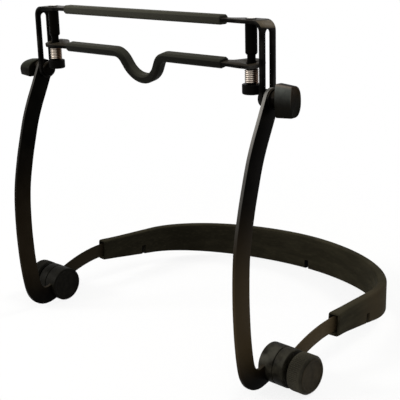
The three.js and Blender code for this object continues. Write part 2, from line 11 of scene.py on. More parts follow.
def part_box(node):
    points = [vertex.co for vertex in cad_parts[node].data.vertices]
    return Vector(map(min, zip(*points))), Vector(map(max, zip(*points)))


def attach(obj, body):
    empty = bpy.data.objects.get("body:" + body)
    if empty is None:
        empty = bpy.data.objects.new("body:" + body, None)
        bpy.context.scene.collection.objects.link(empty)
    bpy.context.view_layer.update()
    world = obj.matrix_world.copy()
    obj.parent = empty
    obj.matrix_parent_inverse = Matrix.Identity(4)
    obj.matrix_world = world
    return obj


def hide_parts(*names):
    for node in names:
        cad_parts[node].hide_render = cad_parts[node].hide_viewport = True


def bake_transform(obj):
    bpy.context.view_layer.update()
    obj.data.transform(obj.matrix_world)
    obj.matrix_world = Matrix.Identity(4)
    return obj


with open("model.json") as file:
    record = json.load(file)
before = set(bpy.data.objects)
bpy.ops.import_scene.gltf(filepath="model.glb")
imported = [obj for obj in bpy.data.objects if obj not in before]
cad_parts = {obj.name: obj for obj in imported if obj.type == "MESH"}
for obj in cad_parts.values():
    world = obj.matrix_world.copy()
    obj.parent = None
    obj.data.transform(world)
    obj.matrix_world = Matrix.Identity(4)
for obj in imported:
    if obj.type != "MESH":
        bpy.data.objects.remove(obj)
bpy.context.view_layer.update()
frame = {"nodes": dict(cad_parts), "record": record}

bl_info = {
    "name": "Harmonica holder",
    "version": (1, 0, 0),
    "blender": (4, 5, 0),
    "location": "3D view, sidebar, Holder tab",
    "description": "Dresses the packed neck holder in smooth shapes and real finishes",
    "category": "Object",
}

MM = 0.001
SIDES = {"right": 1.0, "left": -1.0}
X = Vector((1, 0, 0))
Y = Vector((0, 1, 0))
Z = Vector((0, 0, 1))


# Sizes and colours a user would change

def size_property(name, description, value, low, high):
    """A length in millimetres."""
    return FloatProperty(name=name, description=description, default=value * MM, min=low * MM,
                         max=high * MM, subtype="DISTANCE", unit="LENGTH")


def colour_property(name, description, value):
    return FloatVectorProperty(name=name, description=description, default=value, subtype="COLOR",
                               size=3, min=0, max=1)


class HolderSizes(PropertyGroup):
    edge_round: size_property(
        "Metal edge", "Rounding along the edges of the steel strips", 0.35, 0.05, 1)
    bar_pad_chamfer: size_property(
        "Bar sleeve chamfer", "Chamfer along the rubber sleeves of the two bars", 1.45, 0.2, 2.2)
    collar_corner: size_property(
        "Collar corner", "Corner radius of the padded collar's section", 1.9, 0.5, 3.2)
    wire: size_property("Spring wire", "Diameter of the springs' wire", 1.0, 0.4, 1.2)
    curls: FloatProperty(
        name="Spring curls", description="Turns of wire in each clamping spring",
        default=7.5, min=3, max=8)
    knob_ribs: IntProperty(
        name="Knob ribs", description="Ribs round the rim of each lower knob",
        default=64, min=24, max=120)
    collar_slits: IntProperty(
        name="Collar slits", description="Short slits cut up into the collar's lower edge",
        default=3, min=0, max=9)


class HolderFinishes(PropertyGroup):
    enamel: colour_property("Enamel", "Black enamel of the steel strips", (0.0062, 0.0050, 0.0034))
    rubber: colour_property(
        "Bar rubber", "Rubber sleeves of the two bars", (0.0120, 0.0118, 0.0088))
    collar: colour_property("Collar", "Padded collar round the neck", (0.0170, 0.0150, 0.0092))
    moulding: colour_property(
        "Moulding", "Moulded drums, caps and knobs", (0.0110, 0.0100, 0.0072))
    plating: colour_property("Plating", "Bright plated springs and rivets", (0.44, 0.385, 0.33))


# Node trees written as plain sums

def both_ways(operation):
    """The two methods for a wire with a value and for a value with a wire."""
    return (lambda self, other: self.math(operation, self, other),
            lambda self, other: self.math(operation, other, self))


def alone(operation):
    return lambda self: self.math(operation, self)


class Wire:
    """One output of a node. Sums and products with it add Math nodes to its tree."""

    def __init__(self, sketch, socket):
        self.sketch = sketch
        self.socket = socket

    def outputs(self):
        """Every output of this wire's node, by name."""
        return {socket.name: Wire(self.sketch, socket) for socket in self.socket.node.outputs}

    def math(self, operation, *values):
        return self.sketch.node("ShaderNodeMath", dict(enumerate(values)), operation=operation)

    __add__, __radd__ = both_ways("ADD")
    __sub__, __rsub__ = both_ways("SUBTRACT")
    __mul__, __rmul__ = both_ways("MULTIPLY")
    __truediv__, __rtruediv__ = both_ways("DIVIDE")
    __mod__, __rmod__ = both_ways("FLOORED_MODULO")
    __pow__, __rpow__ = both_ways("POWER")
    least = both_ways("MINIMUM")[0]
    most = both_ways("MAXIMUM")[0]
    __abs__ = alone("ABSOLUTE")
    floor = alone("FLOOR")
    sine = alone("SINE")
    cosine = alone("COSINE")

    def ramp(self, low, high):
        """A soft step from 0 at low to 1 at high."""
        return self.sketch.node("ShaderNodeMapRange", {
            "Value": self, "From Min": low, "From Max": high, "To Min": 0.0, "To Max": 1.0},
            interpolation_type="SMOOTHSTEP")

    def mix(self, first, second):
        """The first colour where this is 0, the second where it is 1."""
        return self.sketch.node(
            "ShaderNodeMix", {0: self, 6: first, 7: second}, 2, data_type="RGBA")


class Sketch:
    """A node tree with one method that adds any node and wires it up."""

    def __init__(self, tree):
        self.tree = tree

    def node(self, kind, values=None, output=0, **settings):
        """Adds a node, with its settings before its sockets, and returns one output."""
        node = self.tree.nodes.new(kind)
        for key, value in settings.items():
            setattr(node, key, value)
        for key, value in (values or {}).items():
            self.feed(node.inputs[key], value)
        return Wire(self, node.outputs[output]) if node.outputs else None

    def feed(self, socket, value):
        if isinstance(value, Wire):
            self.tree.links.new(value.socket, socket)
        elif isinstance(value, tuple) and len(value) == 3 and socket.type == "RGBA":
            socket.default_value = (*value, 1)
        else:
            socket.default_value = value

    def vector(self, operation, first, second, output=0):
        """Vector Math. A scale has its factor in place of the second vector."""
        key = "Scale" if operation == "SCALE" else 1
        return self.node(
            "ShaderNodeVectorMath", {0: first, key: second}, output, operation=operation)

    def parts(self, wire):
        return list(self.node("ShaderNodeSeparateXYZ", {0: wire}).outputs().values())

    def place(self, stretch=(1, 1, 1)):
        """Object coordinates, in metres."""
        return self.vector("MULTIPLY", self.node("ShaderNodeTexCoord", output="Object"), stretch)

    def facing(self):
        """The normal's three parts: to the holder's right, to its back and up."""
        return self.parts(self.node("ShaderNodeTexCoord", output="Normal"))

    def noise(self, scale, detail=3.0, stretch=(1, 1, 1)):
        return self.node("ShaderNodeTexNoise", {
            "Vector": self.place(stretch), "Scale": scale, "Detail": detail, "Roughness": 0.55})

    def relief(self, height, distance, strength):
        """Small bumps, with their height in millimetres."""
        return self.node("ShaderNodeBump", {
            "Height": height, "Distance": distance * MM, "Strength": strength})

    # Callers lighten these edges for wear and a painted edge highlight.
    def worn_edges(self, low=0.52, high=0.6):
        """1 along outer edges of a rounded mesh, 0 on its faces."""
        return self.node("ShaderNodeNewGeometry", output="Pointiness").ramp(low, high)


def blank(owner):
    """A sketch in the emptied node tree of a material or a world."""
    owner.use_nodes = True
    owner.node_tree.nodes.clear()
    return Sketch(owner.node_tree)


# Finishes, with light and shade painted into their colours. Heights are in metres over the floor,
# and places in metres right of the middle

BROWN = (0.0300, 0.0215, 0.0115)
LOW_DOWN = (0.13, 0.05)
DRUM_HEIGHTS = (0.1, 0.05)
FRAME_BENDS = (0.205, 0.212)
UPPER_BAR = (0.207, 0.213)
THUMB_TOP = (0.170, 0.187)
KNOB_START = (0.1190, 0.1205)
ARM_DRUM_END = (0.1105, 0.1095)


def lighter(colour, factor):
    return tuple(min(1.0, part * factor) for part in colour)


def right_half(along):
    """0 at the holder's left end, 1 at its right end."""
    return along.ramp(-0.1, 0.1)


def enamel(sketch, colour, narrow_side_highlight=0.0):
    """Black enamel, with painted light: a warm floor reflection low down and towards the right,
    lighter tops where dust also lies, a speckled highlight on the frame's bends, and on the arms a
    highlight along the narrow sides.
    """
    along, _, height = sketch.parts(sketch.place())
    facing, _, rising = sketch.facing()
    side = right_half(along)
    cloud = sketch.noise(90)
    scuff = sketch.noise(700, 4, (1, 1, 0.25)).ramp(0.56, 0.74)
    edge = sketch.worn_edges() * cloud.ramp(0.35, 0.7)
    # Painted warm reflection of the floor: brown low down, stronger towards the right end.
    low_down = height.ramp(*LOW_DOWN) * height.ramp(0.005, 0.035)
    shade = (low_down * (0.3 + side * 0.7) + cloud.ramp(0.4, 0.75) * 0.03).least(1.0)
    body = shade.mix(lighter(colour, 0.1), BROWN)
    # Upward faces lighter: dust, with painted top light.
    dust_and_top_light = rising.ramp(0.2, 0.95) * (0.45 + scuff * 0.55)
    body = dust_and_top_light.mix(body, (0.0520, 0.0430, 0.0310))
    # Painted speckled highlight on the frame's upper bends.
    bend = (facing * rising).ramp(0.22, 0.46) * (0.4 + scuff * 0.6) * height.ramp(*FRAME_BENDS)
    body = bend.mix(body, (0.2300, 0.1900, 0.1300))
    # Painted highlight along the narrow sides, brightest near the top and on the right; pointy
    # edges lighter with wear and a painted highlight.
    narrow = (facing * facing).ramp(0.5, 0.1) * narrow_side_highlight * (0.22 + side * 0.78)
    bare_metal_and_highlight = narrow * (height.ramp(0.085, 0.13) * 0.3 + height.ramp(0.13, 0.172) * 0.7)
    return {
        "Base Color": (edge * 0.3 + bare_metal_and_highlight).least(1.0).mix(body, (0.19, 0.182, 0.168)),
        "Roughness": 0.28 + cloud * 0.1 + scuff * 0.12,
        "Normal": sketch.relief(sketch.noise(1500, 2) * 0.6 + cloud * 0.4, 0.04, 0.5),
    }


def arm_enamel(sketch, colour):
    """Enamel with a painted highlight along the narrow sides of the arms, brightest near the top.
    """
    return enamel(sketch, colour, narrow_side_highlight=1.0)


def riveted(sketch, colour):
    """Enamel with the chipped, bare top of the rivet."""
    low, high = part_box("right_post")
    across, along, height = sketch.parts(sketch.place())
    off_across = abs(across) - (low.x + high.x) / 2
    off_along = along - (low.y + high.y) / 2
    radius = (off_across * off_across + off_along * off_along) ** 0.5
    rough = sketch.noise(1400)
    rim = (radius + rough * 0.8 * MM).ramp(3.4 * MM, 2.9 * MM)
    top = height.ramp(high.z - 0.75 * MM, high.z - 0.45 * MM)
    bare_metal_and_highlight = sketch.noise(420, 2).ramp(0.3, 0.45) * rim * top
    return {
        "Base Color": bare_metal_and_highlight.mix(lighter(colour, 0.12), (0.95, 0.93, 0.90)),
        "Metallic": bare_metal_and_highlight,
        "Roughness": 0.3 + rough * 0.12,
        "Normal": sketch.relief(rough, 0.05, 0.8),
    }


def blackened(sketch, colour):
    """Blackened spring steel with fine marks of drawing, in painted shade towards the left end."""
    drawn = sketch.noise(300, 4, (1, 1, 9))
    side = right_half(sketch.parts(sketch.place())[0])
    body = drawn.mix(BROWN, (0.0680, 0.0500, 0.0270))
    return {
        # Painted shade: darker towards the left end.
        "Base Color": (0.18 + side * 0.82).mix(lighter(colour, 0.8), body),
        "Roughness": 0.36 + drawn * 0.16 + sketch.noise(60, 2) * 0.06,
        "Normal": sketch.relief(drawn, 0.02, 0.5),
    }


def plated(sketch, colour):
    """Plated wire with a painted highlight stripe along one side of the coil and a painted dark
    stripe beside it.
    """
    along, deep, _ = sketch.parts(sketch.place())
    low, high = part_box("right_spring")
    middle, radius = (low + high) / 2, (high.x - low.x) / 2
    off_along = (along - (along.ramp(-MM, MM) * 2 - 1) * middle.x) / radius
    off_deep = (deep - middle.y) / radius
    # Painted highlight stripe, then a painted dark stripe, set by direction round the coil.
    painted_highlight = (off_along * 0.28 - off_deep * 0.96).ramp(0.66, 0.9)
    painted_dark_stripe = (off_along * 0.94 - off_deep * 0.34).ramp(0.5, 0.85)
    drawn = sketch.noise(900)
    body = painted_dark_stripe.mix(lighter(colour, 0.42), (0.0500, 0.0290, 0.0180))
    return {
        "Base Color": (painted_highlight * (0.6 + drawn * 0.3)).mix(body, lighter(colour, 1.15)),
        "Roughness": 0.34 + drawn * 0.1,
        "Normal": sketch.relief(drawn, 0.01, 0.3),
    }


def rubber(sketch, colour):
    """Matt rubber with a pale bloom, and painted light: the upper bar lighter, more so to the
    left, the lower bar darker, and upward faces lighter.
    """
    along, _, height = sketch.parts(sketch.place())
    cloud = sketch.noise(120)
    matt = sketch.noise(2600)
    bloom = sketch.noise(420, 5).ramp(0.5, 0.8)
    # Painted light: the upper bar lighter, more so towards its left end, the lower bar darker.
    upper = height.ramp(*UPPER_BAR) * (1.25 - right_half(along) * 0.5)
    body = cloud.mix(lighter(colour, 0.75), lighter(colour, 1.4))
    body = (0.3 + upper * 0.7).mix(lighter(colour, 0.15), upper.mix(body, lighter(colour, 2.0)))
    # Painted top light on upward faces.
    up = sketch.facing()[2].ramp(0.1, 0.9) * (0.5 + upper * 0.3)
    body = up.mix(body, lighter(colour, 5.0))
    return {
        "Base Color": (bloom * (0.1 + upper * 0.2)).mix(body, lighter(colour, 3.0)),
        "Roughness": 0.52 + matt * 0.14 + bloom * 0.08,
        "Normal": sketch.relief(matt + cloud * 0.6, 0.05, 0.6),
    }


def slit_shadow(sketch):
    """1 inside the collar's slits, 0 elsewhere."""
    where = sketch.place()
    height = sketch.parts(where)[2]
    whole = None
    for middle, along, across, top in slit_places():
        off = sketch.vector("SUBTRACT", where, tuple(middle * MM))
        on_line, off_line = (
            abs(sketch.vector("DOT_PRODUCT", off, tuple(way), "Value")) for way in (along, across))
        inside = (on_line.ramp(SLIT_SIZE[0] * 0.62 * MM, SLIT_SIZE[0] * 0.52 * MM)
                  * off_line.ramp(SLIT_REACH[0] * MM, SLIT_REACH[1] * MM)
                  * height.ramp((top + 0.4) * MM, (top - 0.2) * MM))
        whole = inside if whole is None else whole.most(inside)
    return whole


def foam(sketch, colour):
    """The collar's soft rubber, streaked along its length and browner at the right bend, with
    painted light: lighter towards the right end and on upward faces.
    """
    along, back, _ = sketch.parts(sketch.place())
    cloud = sketch.noise(45, 4)
    pores = sketch.noise(1900)
    drag = sketch.noise(240, 4, (1, 1, 4))
    streak = sketch.noise(38, 3, (1, 1, 5)).ramp(0.35, 0.68)
    # Painted light: lighter towards the right end.
    side = (along + cloud * 0.06 - 0.03).ramp(-0.13, 0.1)
    body = (side * 0.75 + cloud * 0.25).least(1.0).mix(lighter(colour, 0.5), lighter(colour, 1.5))
    # Painted top light on upward faces.
    body = (sketch.facing()[2].ramp(0.4, 0.95) * 0.5).mix(body, lighter(colour, 2.8))
    body = (0.55 + streak * 0.45).mix(lighter(colour, 0.3), body)
    bend = along.ramp(0.098, 0.114) * back.ramp(0.0, 0.03)
    body = (bend * 0.6).mix(body, (0.0440, 0.0330, 0.0190))
    body = (drag.ramp(0.48, 0.78) * 0.3).mix(body, lighter(colour, 2.2))
    shadow = slit_shadow(sketch)
    return {
        "Base Color": shadow.mix(body, (0.0, 0.0, 0.0)) if shadow else body,
        "Roughness": 0.66 + pores * 0.16,
        "Normal": sketch.relief(pores * 0.7 + drag * 0.5, 0.07, 0.7),
    }


def moulding_skin(sketch, cloud):
    """The fine grain that drums and thumb knobs share."""
    spark = sketch.noise(3200, 2)
    return {
        "Roughness": 0.34 + cloud * 0.16 + spark * 0.08,
        "Normal": sketch.relief(spark * 0.6 + cloud, 0.05, 0.6),
    }


def moulded(sketch, colour):
    """Moulded drums, caps and round knobs, with painted light: patchy highlights on faces turned
    up to the front, shade on faces turned down, and darker high up and towards the left. The
    knobs' ribbed sides are lighter than their end faces.
    """
    along, _, height = sketch.parts(sketch.place())
    outward, back, rising = sketch.facing()
    side = right_half(along)
    cloud = sketch.noise(260)
    patch = sketch.noise(110, 2).ramp(0.25, 0.7)
    # Painted highlight, in patches, on faces turned up towards the front.
    painted_highlight = (rising * 0.77 - back * 0.64).ramp(0.7, 1.0) * patch
    knob = along.ramp(*KNOB_START)
    body = cloud.ramp(0.32, 0.7).mix(lighter(colour, 0.6), lighter(colour, 1.9))
    # Painted shade on faces turned down.
    body = (rising.ramp(0.1, -0.8) * 0.8 * (1 - knob)).mix(body, lighter(colour, 0.3))
    body = (knob * outward.ramp(0.9, 0.3) * 0.65).mix(body, lighter(colour, 4.2))
    # Painted highlight, stronger on the right, and brighter up to the right arm drum's outer end.
    drum_highlight = painted_highlight * (0.85 - knob * 0.6) * (0.45 + side * 0.55)
    body = drum_highlight.mix(body, (0.0450, 0.0428, 0.0330))
    body = (along.ramp(*ARM_DRUM_END) * painted_highlight * 0.3).mix(body, (0.0700, 0.0680, 0.0560))
    face = knob * outward.ramp(0.85, 0.97) * side
    body = (face * (0.35 + patch * 0.45)).mix(body, (0.0300, 0.0235, 0.0140))
    # Pointy edges lighter: wear and a painted edge highlight.
    body = (sketch.worn_edges(0.53, 0.62) * 0.4).mix(body, lighter(colour, 5.0))
    # Painted light: lit low down at the drums, more on the right.
    lit = height.ramp(*DRUM_HEIGHTS) * (0.22 + side * 0.78)
    return {"Base Color": lit.mix(lighter(colour, 0.12), body), **moulding_skin(sketch, cloud)}


def thumb(sketch, colour):
    """Moulded thumb knobs with painted light: a grey highlight over the top of the front face and
    along its top corner, and lighter upward faces on the left knob.
    """
    along, _, height = sketch.parts(sketch.place())
    outward, back, rising = sketch.facing()
    side = right_half(along)
    cloud = sketch.noise(260)
    # Painted light from above: a mask over the upper part of each knob.
    top = height.ramp(*THUMB_TOP) * (0.75 + cloud * 0.5)
    forward = 0 - back
    # Corner mask for a painted highlight line: the front-to-top corner, and weaker the
    # front-to-end corner.
    corner = (forward * rising).ramp(0.12, 0.35).most((forward * outward).ramp(0.25, 0.45) * 0.4)
    body = cloud.mix(lighter(colour, 0.15), lighter(colour, 0.55))
    # Painted top light on the left knob's upward faces.
    body = ((1 - side) * rising.ramp(0.1, 0.9) * 0.55).mix(body, (0.024, 0.026, 0.015))
    # Painted light: the right knob's end face browner towards the top.
    body = (outward.ramp(0.6, 0.95) * side * top * top * 0.8).mix(body, (0.0240, 0.0150, 0.0070))
    # Painted highlight over the top of the right knob's front face.
    front = (forward.ramp(0.55, 0.9) * side * top * top).least(1.0)
    body = front.mix(body, (0.0900, 0.0960, 0.0880))
    # Painted highlight along the top corner and pointy edges, on the upper part only.
    edge = (sketch.worn_edges(0.53, 0.62).most(corner * side) * top).least(1.0)
    return {"Base Color": edge.mix(body, (0.1200, 0.1020, 0.0850)), **moulding_skin(sketch, cloud)}


GLOSS = "Specular IOR Level"
ENAMEL_GLOSS = {GLOSS: 0.012, "Specular Tint": (1.0, 0.95, 0.88)}
FINISHES = {
    "black_enamel": (enamel, "enamel", ENAMEL_GLOSS),
    "arm_enamel": (arm_enamel, "enamel", ENAMEL_GLOSS),
    "riveted_enamel": (riveted, "enamel", {GLOSS: 0.012}),
    "blackened_spring": (blackened, "enamel", {GLOSS: 0.02}),
    "bright_plating": (plated, "plating", {"Metallic": 1.0}),
    "bar_rubber": (rubber, "rubber", {GLOSS: 0.03}),
    "collar_foam": (foam, "collar", {GLOSS: 0.015}),
    "drum_moulding": (moulded, "moulding", {GLOSS: 0.02}),
    "thumb_moulding": (thumb, "moulding", {GLOSS: 0.02}),
}


def finish(name):
    """The named material. Even values are set on the shader, and varying ones are wired to it."""
    if name in bpy.data.materials:
        return bpy.data.materials[name]
    build, key, constants = FINISHES[name]
    material = bpy.data.materials.new(name)
    sketch = blank(material)
    chosen = tuple(getattr(bpy.context.scene.holder_finishes, key))
    shader = sketch.node("ShaderNodeBsdfPrincipled", {**constants, **build(sketch, chosen)})
    sketch.node("ShaderNodeOutputMaterial", {"Surface": shader})
    return material


# Meshes

SHARP_ANGLE = 38
MERGE = 0.0005 * MM
SLIVER = 0.0002 * MM
SKIN_MERGE = 0.0008 * MM
CAD_MERGE = 0.001 * MM
FLAT_ANGLE = math.radians(0.6)
BEVEL_ANGLE = math.radians(32)
ARC_STEPS = 5
NEARLY_HALF = 0.49


def loose(name, data):
    """A new object in the scene that holds a mesh, a lamp or a lens."""
    thing = bpy.data.objects.new(name, data)
    bpy.context.scene.collection.objects.link(thing)
    return thing


def final_mesh(thing):
    """The object's mesh with its modifiers worked in. The object goes."""
    reading = bpy.context.evaluated_depsgraph_get()
    mesh = bpy.data.meshes.new_from_object(thing.evaluated_get(reading), depsgraph=reading)
    bpy.data.objects.remove(thing)
    return mesh


def piece(name, material, slot, body, points=None, faces=None, mesh=None, sharp=SHARP_ANGLE):
    """One closed, smooth-shaded piece at the origin that rides on a body."""
    if mesh is None:
        mesh = bpy.data.meshes.new(name)
        mesh.from_pydata([tuple(point) for point in points], [], faces)
    mesh.name = name
    shape = bmesh.new()
    shape.from_mesh(mesh)
    bmesh.ops.remove_doubles(shape, verts=shape.verts, dist=MERGE)
    bmesh.ops.dissolve_degenerate(shape, dist=SLIVER, edges=shape.edges)
    bmesh.ops.recalc_face_normals(shape, faces=shape.faces)
    shape.to_mesh(mesh)
    shape.free()
    mesh.shade_smooth()
    mesh.set_sharp_from_angle(angle=math.radians(sharp))
    mesh.materials.clear()
    mesh.materials.append(material)
    thing = loose(name, mesh)
    if body:
        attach(thing, body)
    return thing


def body_of(node):
    bodies = frame["record"]["behaviour"]["bodies"]
    return next(body for body, nodes in bodies.items() if node in nodes)


def dress(node, name, material, slot, **form):
    """A piece that takes the place of a CAD node, on that node's body."""
    shape = piece(name, finish(material), slot, body_of(node), **form)
    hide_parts(node)
    return shape


def reach(node):
    """A node's lowest and highest corner, in millimetres."""
    low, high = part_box(node)
    return low / MM, high / MM


def rounded_copy(node, width):
    """A CAD node's shape with its doubles merged and its edges rounded."""
    mesh = frame["nodes"][node].data.copy()
    shape = bmesh.new()
    shape.from_mesh(mesh)
    bmesh.ops.remove_doubles(shape, verts=shape.verts, dist=CAD_MERGE)
    bmesh.ops.dissolve_limit(
        shape, angle_limit=FLAT_ANGLE, verts=shape.verts, edges=shape.edges)
    shape.to_mesh(mesh)
    shape.free()
    mesh.shade_smooth()
    thing = loose(node + "_copy", mesh)
    bevel = thing.modifiers.new("edges", "BEVEL")
    bevel.width = width
    bevel.segments = 2
    bevel.limit_method = "ANGLE"
    bevel.angle_limit = BEVEL_ANGLE
    bevel.use_clamp_overlap = False
    bevel.harden_normals = True
    return final_mesh(thing)


def rounded_corners(outline):
    """Replaces each (radius, along, round) corner by an arc."""
    result = []
    count = len(outline)
    for at, (radius, along, round_by) in enumerate(outline):
        here = Vector((radius, along))
        if round_by <= 0:
            result.append(here)
            continue
        before = Vector(outline[at - 1][:2]) - here
        after = Vector(outline[(at + 1) % count][:2]) - here
        cut = min(round_by, before.length * NEARLY_HALF, after.length * NEARLY_HALF)
        start = here + before.normalized() * cut
        end = here + after.normalized() * cut
        for step in range(ARC_STEPS + 1):
            share = step / ARC_STEPS
            result.append(start * (1 - share) ** 2 + here * (2 * share * (1 - share))
                          + end * share ** 2)
    return result


def ring_faces(rings, size, closed=False):
    """The faces between rings of points. Closed joins the last ring to the first."""
    faces = []
    for ring in range(rings if closed else rings - 1):
        following = (ring + 1) % rings
        for k in range(size):
            ahead = (k + 1) % size
            faces.append((ring * size + k, ring * size + ahead,
                          following * size + ahead, following * size + k))
    return faces


def turned(outline, start, direction, steps):
    """Points and faces of a turned piece. The outline is in millimetres: radius, along, round."""
    line = rounded_corners(outline)
    side = Z if abs(direction.dot(Z)) < 0.5 else X
    across = direction.cross(side).normalized()
    points = []
    for radius, along in line:
        middle = start + direction * along * MM
        for step in range(steps):
            angle = 2 * math.pi * step / steps
            way = side * math.cos(angle) + across * math.sin(angle)
            points.append(middle + way * radius * MM)
    closed = line[0].x > 0 or line[-1].x > 0
    return {"points": points, "faces": ring_faces(len(line), steps, closed)}


def seat(node, direction):
    """Where a turned piece starts on its line, and its length and radius in millimetres."""
    low, high = reach(node)
    middle = (low + high) / 2
    if direction == Z:
        return Vector((middle.x, middle.y, low.z)) * MM, high.z - low.z, (high.x - low.x) / 2
    start = direction.x * min(abs(low.x), abs(high.x))
    return Vector((start, middle.y, middle.z)) * MM, high.x - low.x, (high.z - low.z) / 2


def turned_pieces(rows, side, direction):
    """Turns one side's pieces. A row is (node, piece, finish, slot, steps round, outline)."""
    for node, name, material, slot, steps, outline in rows:
        start, length, radius = seat(f"{side}_{node}", direction)
        dress(f"{side}_{node}", f"{side}_{name}", material, slot,
              **turned(outline(length, radius), start, direction, steps))


# Geometry node trees

def new_tree(name, inputs):
    """A tree with a geometry input and output and the named inputs, and the wires of them all."""
    tree = bpy.data.node_groups.new(name, "GeometryNodeTree")
    tree.interface.new_socket("Geometry", in_out="OUTPUT", socket_type="NodeSocketGeometry")
    for label, kind in {"Geometry": "Geometry", **inputs, "Material": "Material"}.items():
        tree.interface.new_socket(label, in_out="INPUT", socket_type="NodeSocket" + kind)
    sketch = Sketch(tree)
    return sketch, sketch.node("NodeGroupInput").outputs()


def end_tree(sketch, shape, material):
    real = sketch.node("GeometryNodeRealizeInstances", {0: shape})
    done = sketch.node("GeometryNodeSetMaterial", {"Geometry": real, "Material": material})
    sketch.node("NodeGroupOutput", {0: done})


def grown(name, values, mesh=None):
    """The plain mesh that a tree makes from named inputs and a starting mesh."""
    tree = bpy.data.node_groups[name]
    thing = loose(name, mesh or bpy.data.meshes.new(name))
    modifier = thing.modifiers.new("shape", "NODES")
    modifier.node_group = tree
    for item in tree.interface.items_tree:
        if item.in_out == "INPUT" and item.name in values:
            modifier[item.identifier] = values[item.name]
    return final_mesh(thing)


def read_along(sketch, shape, spot, labels):
    """The named vectors of the point with that number."""
    return [sketch.node("GeometryNodeSampleIndex", {
        "Geometry": shape, "Index": spot, "Value": sketch.node(
            "GeometryNodeInputNamedAttribute", {"Name": label}, data_type="FLOAT_VECTOR")},
        data_type="FLOAT_VECTOR", domain="POINT") for label in labels]


def sweep_tree():
    """Skins a section along stations: each has a place, two directions and two half sizes."""
    sketch, wires = new_tree("section_along_line", {"Section": "Object", "Corner": "Float"})
    stations = wires["Geometry"]
    section = sketch.node("GeometryNodeObjectInfo", {0: wires["Section"]}, "Geometry")
    station_count, spot_count = (
        sketch.node("GeometryNodeAttributeDomainSize", {0: shape}, component="MESH")
        for shape in (stations, section))
    round_count = spot_count + 1
    grid = sketch.node("GeometryNodeMeshGrid", {
        "Size X": 1.0, "Size Y": 1.0, "Vertices X": station_count, "Vertices Y": round_count})
    number = sketch.node("GeometryNodeInputIndex")
    station = (number / round_count + 0.0001).floor()
    spot = (number - station * round_count) % spot_count
    middle, across, upright, halves = read_along(
        sketch, stations, station, ("middle", "across", "upright", "halves"))
    half_across, half_up, corner_share = sketch.parts(halves)
    core, rim = (sketch.parts(wire) for wire in read_along(sketch, section, spot, ("core", "rim")))
    corner = wires["Corner"] * corner_share
    move_across, move_up = (
        core[at] * (half - corner) + rim[at] * corner
        for at, half in enumerate((half_across, half_up)))
    moved = sketch.vector("ADD", middle, sketch.vector(
        "ADD", sketch.vector("SCALE", across, move_across),
        sketch.vector("SCALE", upright, move_up)))
    skin = sketch.node("GeometryNodeSetPosition", {"Geometry": grid, "Position": moved})
    merged = sketch.node("GeometryNodeMergeByDistance", {
        "Geometry": skin, "Distance": SKIN_MERGE})
    end_tree(sketch, merged, wires["Material"])


def coil_tree():
    """Winds one wire with closed end curls."""
    sketch, wires = new_tree("coil_spring", {
        "Curls": "Float", "Radius": "Float", "Length": "Float", "Wire": "Float",
        "Closed Curls": "Float", "Points": "Int"})
    thickness, closed = wires["Wire"], wires["Closed Curls"]
    line = sketch.node("GeometryNodeMeshLine", {"Count": wires["Points"]}, mode="OFFSET")
    share = sketch.node("GeometryNodeInputIndex") / (wires["Points"] - 1)
    turned_by = share * wires["Curls"]
    flat_pitch = thickness * 1.04
    open_curls = wires["Curls"] - closed * 2
    open_pitch = (wires["Length"] - thickness - flat_pitch * closed * 2) / open_curls
    rise = turned_by.least(closed) * flat_pitch
    rise = rise + (turned_by - closed).most(0.0).least(open_curls) * open_pitch
    rise = rise + (turned_by - closed - open_curls).most(0.0) * flat_pitch
    angle = turned_by * (2 * math.pi)
    middle = wires["Radius"] - thickness * 0.5
    where = sketch.node("ShaderNodeCombineXYZ", {
        0: angle.cosine() * middle, 1: angle.sine() * middle, 2: rise + thickness * 0.5})
    wound = sketch.node("GeometryNodeSetPosition", {"Geometry": line, "Position": where})
    curve = sketch.node("GeometryNodeMeshToCurve", {0: wound})
    ring = sketch.node("GeometryNodeCurvePrimitiveCircle", {
        "Resolution": 12, "Radius": thickness * 0.5}, mode="RADIUS")
    tube = sketch.node("GeometryNodeCurveToMesh", {
        "Curve": curve, "Profile Curve": ring, "Fill Caps": True})
    end_tree(sketch, tube, wires["Material"])


def rib_tree():
    """Stands a short rounded rib at even steps round a drum whose axis is X."""
    sketch, wires = new_tree("rim_ribs", {
        "Count": "Int", "Rim": "Float", "Rib": "Float", "Length": "Float"})
    ring = sketch.node("GeometryNodeMeshCircle", {
        "Vertices": wires["Count"], "Radius": wires["Rim"]}, fill_type="NONE")
    rib = sketch.node("GeometryNodeMeshCylinder", {
        "Vertices": 8, "Side Segments": 1, "Radius": wires["Rib"], "Depth": wires["Length"]},
        fill_type="NGON")
    ribs = sketch.node("GeometryNodeInstanceOnPoints", {"Points": ring, "Instance": rib})
    upright = sketch.node("GeometryNodeRealizeInstances", {0: ribs})
    lying = sketch.node("GeometryNodeTransform", {
        "Geometry": upright, "Rotation": (0.0, math.pi / 2, 0.0)})
    end_tree(sketch, lying, wires["Material"])


# Sweeps

def point_mesh(name, points, vectors):
    """A mesh of points only, each with named vectors."""
    mesh = bpy.data.meshes.new(name)
    mesh.from_pydata(points, [], [])
    for label, rows in vectors.items():
        attribute = mesh.attributes.new(label, "FLOAT_VECTOR", "POINT")
        attribute.data.foreach_set("vector", [part for row in rows for part in row])
    return mesh


